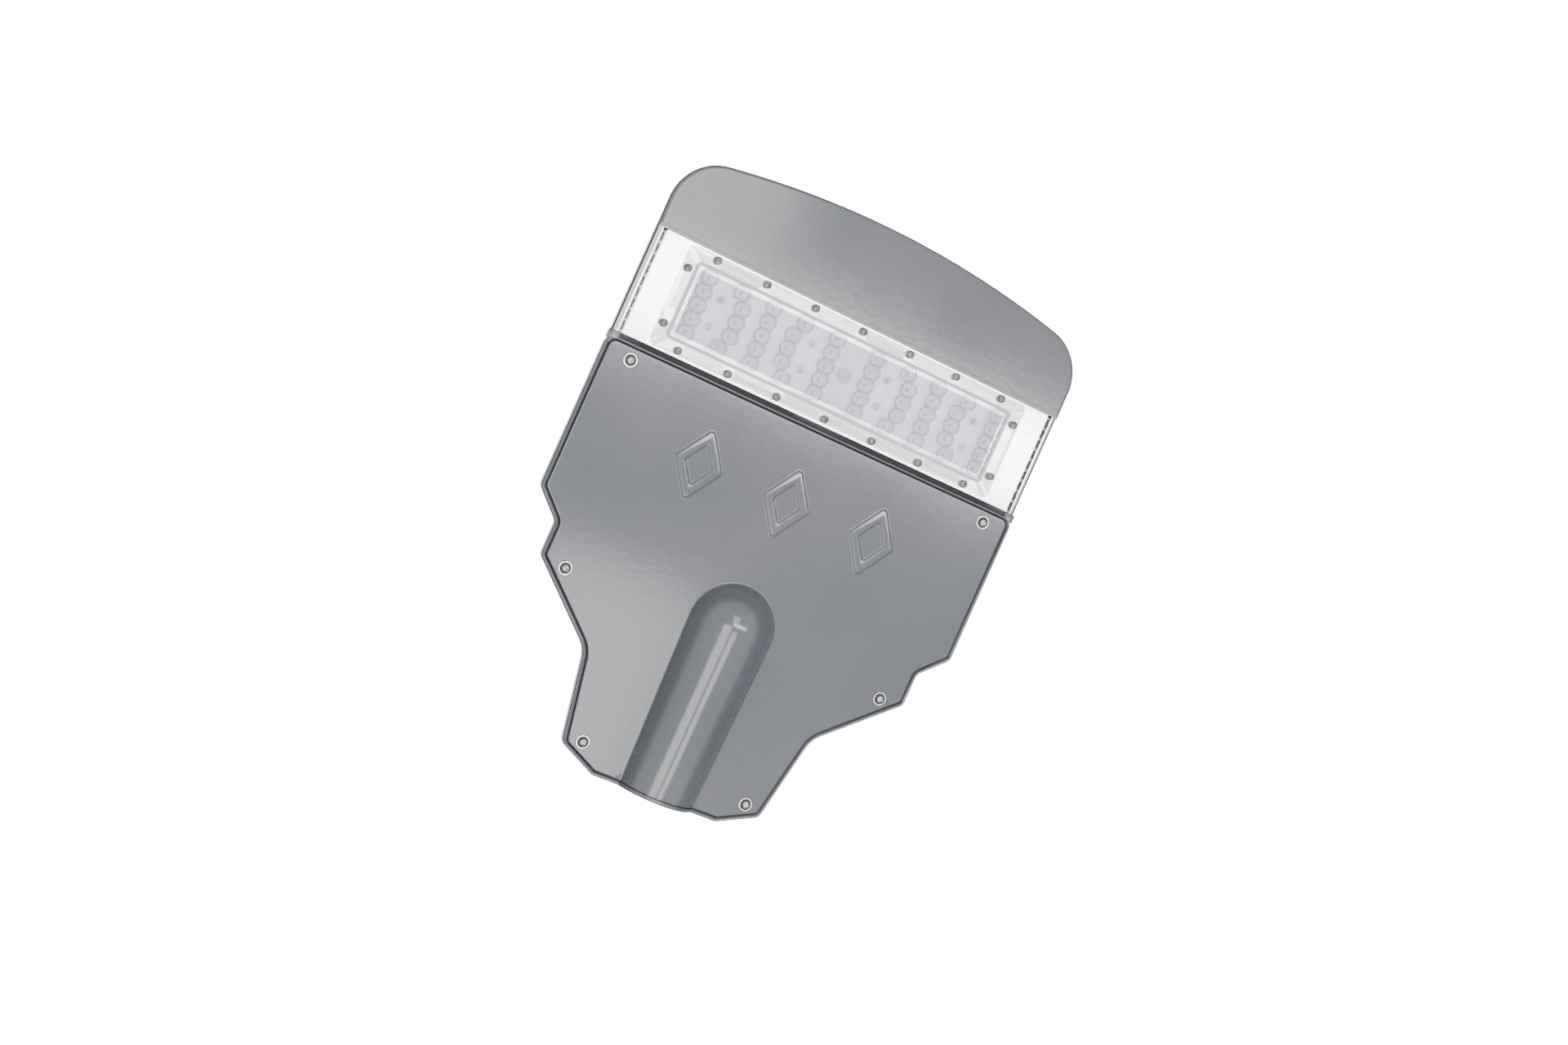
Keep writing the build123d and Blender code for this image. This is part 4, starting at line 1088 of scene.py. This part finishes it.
@dataclass
class NoseCap:
    """Curved casting at the lamp's nose, open towards the module."""

    rear: float = 376.0
    nose: float = 447.75
    half_width: float = 169.7
    nose_radius: float = 724.0
    corner: float = 38.0
    bottom: float = -16.6
    bottom_round: float = 2.6
    lip_width: float = 2.4
    lip_depth: float = 0.4
    roof: float = 26.0
    ridge: float = 364.0
    length_radius: float = 190.0
    cross_radius: float = 4000.0
    roof_round: float = 7.0
    wall: float = 3.0
    hold: float = 0.8
    lean: float = 0.23
    rear_count: int = 24
    side_runs: tuple[float, ...] = (-0.1, 0.1, 5.0, 11.0)
    corner_steps: int = 24
    nose_steps: int = 20
    wall_shares: tuple[float, ...] = (0.06, 0.35, 0.7)
    roof_pitch: float = 9.0
    inner_pitch: float = 14.0
    maker: MeshMaker = field(default_factory=MeshMaker)

    def build(self) -> bpy.types.Object:
        """Make the cap's closed shell."""
        points, normals = self.path()
        rows = self.skin_rows(points, normals)
        self.maker.strips(rows, closed=False)
        low = rows[0]
        self.maker.fill(low[2:-2])
        self.maker.faces += [(low[1], low[2], low[-3], low[-2]), (low[0], low[1], low[-2], low[-1])]
        rear_roof = self.rear_line(rows[-1], 0.0)
        self.maker.drape([*rows[-1], *rear_roof], self.roof_height, self.roof_pitch)
        section = [*[row[0] for row in rows], *rear_roof[::-1], *[row[-1] for row in reversed(rows)]]
        self.maker.fill(section, [self.inner_skin(points, normals)], View.ACROSS)
        return self.maker.build("nose_cap", crease=32.0)

    def drawn_in(self, x: float, y: float, z: float) -> Spot:
        """Place after the side walls' lean at its height."""
        rise = max(0.0, z - self.bottom - self.bottom_round)
        return (x * (1 - self.lean * rise / self.half_width), y, z)

    def roof_height(self, x: float, y: float) -> float:
        """Height of the crowned roof at one place."""
        drop = self.cross_radius - sqrt(self.cross_radius**2 - x * x)
        reach = self.length_radius - drop
        return self.roof - self.length_radius + sqrt(reach**2 - (y - self.ridge) ** 2)

    def roof_slope(self, x: float, y: float) -> Vector:
        """Upward normal of the roof, not yet of unit length."""
        step = 0.5
        slope_x = (self.roof_height(x + step, y) - self.roof_height(x - step, y)) / (2 * step)
        slope_y = (self.roof_height(x, y + step) - self.roof_height(x, y - step)) / (2 * step)
        return Vector((-slope_x, -slope_y, 1.0))

    def path(self) -> tuple[list[Vector], list[Vector]]:
        """Plan outline from the right rear corner around the nose to the left rear corner.

        Returns:
            The points and their outward normals.
        """
        centre_y = self.nose - self.nose_radius
        bend_x = self.half_width - self.corner
        bend_y = centre_y + sqrt((self.nose_radius - self.corner) ** 2 - bend_x**2)
        swing = atan2(bend_y - centre_y, bend_x)
        step_y = self.rear + self.lip_width
        points = [Vector((self.half_width, step_y + run)) for run in (-self.lip_width, *self.side_runs)]
        normals = [Vector((1.0, 0.0)) for _ in points]
        bend, centre = Vector((bend_x, bend_y)), Vector((0.0, centre_y))
        arcs = [(bend, self.corner, angle) for angle in even(0.0, swing, self.corner_steps)]
        around = even(swing, pi / 2, self.nose_steps)[1:]
        arcs += [(centre, self.nose_radius, angle) for angle in around]
        for middle, radius, angle in arcs:
            normals.append(Vector((cos(angle), sin(angle))))
            points.append(middle + normals[-1] * radius)
        for row in (points, normals):
            row += [Vector((-place.x, place.y)) for place in reversed(row[:-1])]
        return points, normals

    def skin_rows(self, points: list[Vector], normals: list[Vector]) -> list[list[int]]:
        """Rows from the flat underside over the edge, up the wall and over the roof's edge.

        Args:
            points: Plan outline.
            normals: Outward normals of the outline.

        Returns:
            The rows, the lowest first.
        """
        columns = []
        base = self.bottom + self.bottom_round
        for point, normal in zip(points, normals):
            ridge = point - normal * self.roof_round
            up = self.roof_slope(ridge.x, ridge.y)
            centre_z = self.roof_height(ridge.x, ridge.y) - self.roof_round * up.length
            end = atan2(up.z, up.x * normal.x + up.y * normal.y)
            column = [(self.bottom_round + self.hold, self.bottom)]
            column += reversed(soft_corner(0.0, self.bottom, self.bottom_round, 7))
            column += [(0.0, base + (centre_z - base) * share) for share in self.wall_shares]
            column += [
                (self.roof_round * (1 - cos(angle)), centre_z + self.roof_round * sin(angle))
                for angle in even(0.0, end, 10)
            ]
            if point.y < self.rear + self.lip_width:
                floor = self.bottom + self.lip_depth
                column = [(inset, max(level, floor)) for inset, level in column]
            columns.append([(point - normal * inset, level) for inset, level in column])
        return [
            self.maker.ring([self.drawn_in(place.x, place.y, level) for place, level in row])
            for row in zip(*columns)
        ]

    def rear_line(self, row: list[int], inset: float) -> list[int]:
        """Points of the roof along its rear edge, from left to right."""
        reach = self.maker.vertices[row[0]].x
        places = even(-reach, reach, self.rear_count)[1:-1]
        return self.maker.ring([(x, self.rear, self.roof_height(x, self.rear) - inset) for x in places])

    def inner_skin(self, points: list[Vector], normals: list[Vector]) -> list[int]:
        """Inner faces of the shell.

        Args:
            points: Plan outline.
            normals: Outward normals of the outline.

        Returns:
            The inner outline of the rear rim.
        """
        places = [point - normal * self.wall for point, normal in zip(points, normals)]
        inner = [place - normal * self.wall for place, normal in zip(places, normals)]
        floor = self.maker.ring([(p.x, p.y, self.bottom + self.wall) for p in places])
        top, bend = (
            self.maker.ring([self.drawn_in(p.x, p.y, self.roof_height(p.x, p.y) - below) for p in row])
            for row, below in ((places, 2 * self.wall), (inner, self.wall))
        )
        self.maker.strips([floor, top, bend], closed=False)
        self.maker.fill(floor)
        line = self.rear_line(bend, self.wall)
        self.maker.drape(
            [*bend, *line], lambda x, y: self.roof_height(x, y) - self.wall, self.inner_pitch
        )
        return [floor[0], top[0], bend[0], *line[::-1], bend[-1], top[-1], floor[-1]]


class SpotPattern:
    """Copies of one shape set out at spots, each turned by a random angle about its axis."""

    def __init__(self) -> None:
        """Build the geometry node tree."""
        outputs = {"Mesh": Sockets.MESH}
        tree, given, put = new_group("Shape at spots", "GeometryNodeTree", SPOT_INPUTS, outputs)
        given = given.outputs
        shape = add_node(tree, "GeometryNodeObjectInfo", Object=given["Shape"])
        chance = add_node(tree, "FunctionNodeRandomValue", Seed=given["Seed"])
        chance.data_type = "FLOAT"
        least, most = [socket for socket in chance.inputs if socket.type == "VALUE"][:2]
        put_in(tree, least, 0.0)
        put_in(tree, most, given["Turn"])
        value = next(socket for socket in chance.outputs if socket.type == "VALUE")
        spread = add_node(
            tree,
            "GeometryNodeInstanceOnPoints",
            Points=given["Spots"],
            Instance=shape.outputs["Geometry"],
            Rotation=add_node(tree, "ShaderNodeCombineXYZ", Z=value).outputs[0],
        )
        real = add_node(tree, "GeometryNodeRealizeInstances", Geometry=spread.outputs[0])
        dressed = add_node(
            tree, "GeometryNodeSetMaterial", Geometry=real.outputs[0], Material=given["Material"]
        )
        put_in(tree, put.inputs["Mesh"], dressed.outputs[0])
        self.tree = tree
        self.keys = {item.name: item.identifier for item in tree.interface.items_tree}

    def set_out(
        self,
        name: str,
        shape: bpy.types.Object,
        spots: Sequence[Spot],
        finish: Finish,
        *nodes: str,
        turn: float = 0.0,
        seed: int = 1,
        crease: float = 35.0,
    ) -> None:
        """Put a copy of the shape at each spot, as one plain dressed mesh.

        Args:
            name: The new object's name.
            shape: The shape, which is used up.
            spots: Places in millimetres.
            finish: Finish of the copies.
            nodes: The CAD nodes that the copies replace.
            turn: Largest random turn in radians.
            seed: Seed of the random turns.
            crease: Angle in degrees past which an edge is sharp.
        """
        mesh = bpy.data.meshes.new(f"{name}_spots")
        mesh.from_pydata([Vector(spot) * MM for spot in spots], [], [])
        made = bpy.data.objects.new(name, mesh)
        bpy.context.scene.collection.objects.link(made)
        modifier = made.modifiers.new("Pattern", "NODES")
        modifier.node_group = self.tree
        for label, value in zip(list(SPOT_INPUTS)[1:], (shape, turn, seed, finish.material())):
            modifier[self.keys[label]] = value
        frozen(made)
        made.data.shade_smooth()
        made.data.set_sharp_from_angle(angle=radians(crease))
        bpy.data.objects.remove(shape)
        dress(made, finish, *nodes)


@dataclass
class PanHead:
    """Pan head of a screw with a cross recess; it hangs down from its seat."""

    diameter: float
    height: float
    segments: int = 64
    rings: int = 26
    fullness: float = 2.7
    foot_share: float = 0.96
    crown_share: float = 0.999
    recess_reach: float = 0.31
    recess_half: float = 0.085
    recess_depth: float = 0.62
    recess_taper: float = 0.3
    recess_rise: float = 0.45
    edge: float = 0.05

    def build(self) -> bpy.types.Object:
        """Make the head around the origin."""
        radius = self.diameter / 2
        rows = [circle((0, 0), radius * self.foot_share, 0.0, self.segments)]
        for ring in range(self.rings, 0, -1):
            share = sin(ring / self.rings * pi / 2)
            around = circle((0, 0), radius * share, 0.0, self.segments)
            rows.append([(p.x, p.y, self.surface(p.x, p.y, share)) for p in around])
        maker = MeshMaker()
        maker.dome(rows, (0, 0, self.surface(0, 0, 0)))
        return maker.build("pan_head", crease=50.0)

    def surface(self, x: float, y: float, share: float) -> float:
        """Height of the head's surface with the cross recess in it."""
        crown = -self.height * (1 - share**self.fullness * self.crown_share) ** (1 / self.fullness)
        cut = max(self.arm(x, y), self.arm(y, x))
        return crown + cut * self.height * self.recess_depth

    def arm(self, along: float, across: float) -> float:
        """Depth of one slot of the recess as a share of its full depth."""
        reach = self.diameter * self.recess_reach
        narrowing = 1 - self.recess_taper * min(1.0, abs(along) / reach)
        half = self.diameter * self.recess_half * narrowing
        edge = self.diameter * self.edge
        side = min(1.0, max(0.0, (half - abs(across)) / edge + 0.5))
        end = min(1.0, max(0.0, (reach - abs(along)) / edge))
        return side * end * (1 - self.recess_rise * abs(along) / reach)


@dataclass
class Washer:
    """Round washer with softened edges, level on both sides."""

    outer: float
    inner: float
    thickness: float
    soft: float = 0.22
    segments: int = 56

    def build(self) -> bpy.types.Object:
        """Make the washer below the level of its seat."""
        top = -self.thickness
        profile = [(self.inner, 0.0), (self.outer - self.soft / 2, 0.0), (self.outer, -self.soft / 2)]
        profile += soft_corner(self.outer, top, self.soft, 3, side=-1)
        profile += reversed(soft_corner(self.inner, top, self.soft, 3))
        maker = MeshMaker()
        rows = [maker.ring(circle((0, 0), radius, level, self.segments)) for radius, level in profile]
        maker.strips([*rows, rows[0]], closed=True)
        return maker.build("washer", crease=60.0)


@dataclass
class Fasteners:
    """Visible screws of the lid, the lens plate and the board, set out with one pattern."""

    washer_seat: float = -16.0
    washer: tuple[float, float, float] = (5.3, 3.95, 0.9)
    # Black ring under each lid washer, seen between head and washer: painted shade for the shaded ring
    # there.
    shade_ring: tuple[float, float, float] = (3.93, 1.9, 0.55)
    lid_seat: float = -16.5
    lid_head: Point = (6.0, 2.6)
    plate_head: Point = (5.8, 1.9)
    board_head: Point = (5.0, 1.1)
    plate_pitch: float = 40.0
    plate_rows: float = 34.6
    plate_side: Point = (137.6, 21.05)

    def build(self, pattern: SpotPattern) -> None:
        """Make every visible screw and washer."""
        lid = [(side * x, y) for x, y in LID_SCREWS for side in SIDES]
        seats = [(x, y, self.washer_seat) for x, y in lid]
        pattern.set_out("lid_washers", Washer(*self.washer).build(), seats, BRIGHT_STEEL, "cover_washers")
        # The black rings under the washers are painted shade.
        pattern.set_out("lid_washer_seals", Washer(*self.shade_ring).build(), seats, BLACK_RUBBER_AND_SHADE)
        plate = [
            (column * self.plate_pitch, MODULE_MIDDLE + side * self.plate_rows, PLATE_FACE)
            for column in range(-3, 4)
            for side in SIDES
        ]
        plate += both_sides(self.plate_side[:1], self.plate_side[1], PLATE_FACE)
        board = both_sides(BOARD_SCREWS, BOARD_ROW, BOARD_FACE)
        heads = [(x, y, self.lid_seat) for x, y in lid]
        for name, head, spots, finish, node, seed in (
            ("lid_screw_heads", self.lid_head, heads, BRIGHT_STEEL, "cover_screws", 5),
            ("lens_screw_heads", self.plate_head, plate, SCREW_STEEL, "lens_screws", 11),
            ("board_screw_heads", self.board_head, board, SCREW_STEEL, "board_screws", 17),
        ):
            pattern.set_out(name, PanHead(*head).build(), spots, finish, node, turn=pi, seed=seed)


@dataclass(frozen=True)
class Pad:
    """Low raised pad with round corners and soft edges, hanging below its level."""

    half_x: float
    half_y: float
    corner: float
    height: float
    soft: float = 0.3

    def build(self) -> bpy.types.Object:
        """Make the pad around the origin."""
        levels = [(0.0, 0.0), *soft_corner(0.0, -self.height, self.soft, 3)]
        maker = MeshMaker()
        maker.loft(
            rounded_ring(self.half_x - d, self.half_y - d, self.corner - d, 0.0, z) for d, z in levels
        )
        return maker.build("pad", crease=50.0)


@dataclass
class LensDome:
    """Round lens cut flat on two sides, hanging below the window."""

    radius: float = 6.5
    cut: float = 5.05
    height: float = 3.9
    fullness: float = 2.3
    crown_share: float = 0.97
    sink: float = 0.05
    rings: int = 12
    segments: int = 40

    def build(self) -> bpy.types.Object:
        """Make the lens around the origin."""
        rows = [self.row(1.0, self.sink)]
        for ring in range(self.rings, 0, -1):
            share = sin(ring / self.rings * pi / 2)
            depth = (1 - share**self.fullness * self.crown_share) ** (1 / self.fullness)
            rows.append(self.row(share, -self.height * depth))
        maker = MeshMaker()
        maker.dome(rows, (0, 0, -self.height))
        return maker.build("lens", crease=40.0)

    def row(self, share: float, z: float) -> list[Spot]:
        """One level of the lens, with its two flat sides."""
        around = circle((0, 0), self.radius * share, z, self.segments)
        return [(p.x, max(-self.cut, min(self.cut, p.y)), z) for p in around]


@dataclass
class OpticPlate:
    """Clear plate over the board: flange, raised window, lands, bar, screw caps and lenses."""

    half: Point = (142.0, 37.75)
    corner: float = 5.0
    flange_edge: tuple[Point, ...] = ((0.0, 0.5), (0.15, 0.15), (0.5, 0.0))
    window: Point = (134.0, 29.3)
    window_corner: float = 4.0
    window_face: float = -21.6
    window_foot: tuple[Point, ...] = ((-0.5, 0.0), (0.0, -0.25))
    window_edge: tuple[Point, ...] = ((-0.3, 0.3), (0.0, 0.06), (0.4, 0.0))
    taper: float = 2.5
    pocket: Point = (128.5, 25.3)
    pocket_corner: float = 3.0
    pocket_draft: float = 0.4
    skin: float = 2.0
    land: Pad = Pad(16.5, 3.3, 2.0, 0.5)
    land_row: float = 32.9
    land_columns: tuple[float, ...] = (20.0, 60.0, 100.0)
    bar: Pad = Pad(7.0, 23.5, 1.5, 0.6)
    cap: Pad = Pad(4.2, 4.2, 4.19, 0.6)
    body: Pad = Pad(1.75, 1.75, 0.4, 0.6, soft=0.15)
    phosphor: Pad = Pad(1.15, 0.75, 0.3, 0.12, soft=0.06)
    phosphor_shift: float = 0.85
    outer_rows: tuple[float, ...] = (16.9, 43.5, 69.5, 95.3, 121.4)
    inner_rows: tuple[float, ...] = (16.9, 48.5, 69.5, 90.6, 121.4)
    row_pitch: float = 10.45
    maker: MeshMaker = field(default_factory=MeshMaker)

    def build(self, pattern: SpotPattern) -> None:
        """Make the plate, its lenses and the LEDs under them.

        Args:
            pattern: The pattern that sets shapes out.
        """
        dress(self.plate(), CLEAR_OPTIC, "lens_plate")
        face = self.window_face
        lenses = [(x, y, face) for x, y in self.spots()]
        # The lenses carry a painted shaded rim.
        pattern.set_out("lenses", LensDome().build(), lenses, LENS_SHADED_RIM, crease=40.0)
        for name, pad, spots in (
            ("lens_plate_lands", self.land, both_sides(self.land_columns, self.land_row, PLATE_FACE)),
            ("lens_plate_bar", self.bar, [(0.0, MODULE_MIDDLE, face)]),
            ("lens_plate_caps", self.cap, both_sides(BOARD_SCREWS, BOARD_ROW, face)),
        ):
            pattern.set_out(name, pad.build(), spots, CLEAR_OPTIC)
        bodies = [(x, y, BOARD_FACE) for x, y in self.spots()]
        pattern.set_out("led_bodies", self.body.build(), bodies, LED_BODY, "led_chips")
        top = BOARD_FACE - self.body.height
        tops = [(x, y + end * self.phosphor_shift, top) for x, y in self.spots() for end in SIDES]
        pattern.set_out("led_phosphor_spots", self.phosphor.build(), tops, LED_PHOSPHOR)

    def spots(self) -> list[Point]:
        """Place of each lens: outer and inner rows have their own columns."""
        places = []
        for row in range(-2, 3):
            columns = self.outer_rows if abs(row) == 2 else self.inner_rows
            for side in SIDES:
                places += [(side * x, MODULE_MIDDLE + row * self.row_pitch) for x in columns]
        return places

    def plate(self) -> bpy.types.Object:
        """Make the flange and the window as one closed shell."""
        face, top = PLATE_FACE, self.window_face
        side = [(0.0, MODULE_FACE), *[(inset, face + up) for inset, up in self.flange_edge]]
        slope = [(inset, face + up) for inset, up in self.window_foot]
        slope += [(self.taper + inset, top + up) for inset, up in self.window_edge]
        inside = [(0.0, MODULE_FACE), (self.pocket_draft, top + self.skin)]
        edge = self.wall_rows(self.half, self.corner, side)
        rise = self.wall_rows(self.window, self.window_corner, slope)
        hollow = self.wall_rows(self.pocket, self.pocket_corner, inside)
        self.maker.strip(edge[-1], rise[0], closed=True)
        self.maker.strip(edge[0], hollow[0], closed=True)
        self.maker.fill(rise[-1])
        self.maker.fill(hollow[-1])
        return self.maker.build("optic_plate", crease=50.0)

    def wall_rows(self, half: Point, corner: float, profile: Sequence[Point]) -> list[list[int]]:
        """Make one wall of the shell.

        Args:
            half: Half width and half length of its plan.
            corner: Corner radius.
            profile: Inset and height of each level.

        Returns:
            The rows of the wall.
        """
        rows = [
            self.maker.ring(rounded_ring(half[0] - inset, half[1] - inset, corner, MODULE_MIDDLE, z))
            for inset, z in profile
        ]
        self.maker.strips(rows, closed=True)
        return rows


@dataclass
class ArmCollar:
    """Lower part of the collar around the arm, with a tongue under the mouth of the bulge."""

    inner: float = 30.8
    outer: float = 33.8
    rear: float = 0.0
    front: float = 2.9
    soft: float = 0.5
    end_level: float = 13.0
    tongue: float = 31.3
    tongue_end: float = 9.0
    steps: int = 40

    def build(self) -> bpy.types.Object:
        """Make the collar."""
        edge = self.outer - self.soft
        section = [
            (self.inner, self.rear), (edge, self.rear), (self.outer, self.rear + self.soft),
            (self.outer, self.front - self.soft), (edge, self.front), (self.tongue, self.front),
            (self.tongue, self.tongue_end), (self.inner, self.tongue_end),
        ]
        start = atan2(self.end_level, self.outer)
        turns = even(start, pi - start, self.steps)
        maker = MeshMaker()
        maker.loft([[(r * cos(turn), y, -r * sin(turn)) for r, y in section] for turn in turns])
        return maker.build("arm_collar", crease=50.0)


@dataclass
class JointShadeStrip:
    """Black strip in the joint between compartment and module, painted shade: a dark sheet where the
    gap's shadow falls.
    """

    reach: float = 160.0
    rear: float = 290.5
    front: float = 296.98
    low: float = -12.0
    high: float = -6.0

    def build(self) -> bpy.types.Object:
        """Make the strip."""
        low, high = self.low, self.high
        section = [(self.rear, low), (self.front, low), (self.front, high), (self.rear, high)]
        maker = MeshMaker()
        maker.loft([[(side * self.reach, y, z) for y, z in section] for side in SIDES], View.ALONG)
        return maker.build("joint_seal")


def main() -> None:
    """Build the studio and every piece."""
    logging.basicConfig(level=logging.INFO, format="%(name)s %(message)s")
    Studio().build()
    dress(Lid().build(), CAST_PAINT, "driver_cover")
    dress(NoseCap().build(), CAST_PAINT, "front_cap")
    pattern = SpotPattern()
    Fasteners().build(pattern)
    OpticPlate().build(pattern)
    # Painted shade: a black strip fills the gap between lid and module so that it reads dark.
    dress(JointShadeStrip().build(), BLACK_RUBBER_AND_SHADE)
    dress(ArmCollar().build(), CAST_PAINT)
    shell = node_copy("driver_housing", "compartment_shell", shape=LeaningWalls())
    dress(shell, CAST_PAINT, "driver_housing")
    dress(SideRail().build(1), RAIL_ALUMINIUM, "right_rail")
    dress(SideRail().build(-1), RAIL_ALUMINIUM, "left_rail")
    for finish, nodes in NODE_FINISHES.items():
        for node in nodes:
            dress(node_copy(node, f"{node}_shell"), finish, node)


if __name__ == "__main__":
    main()
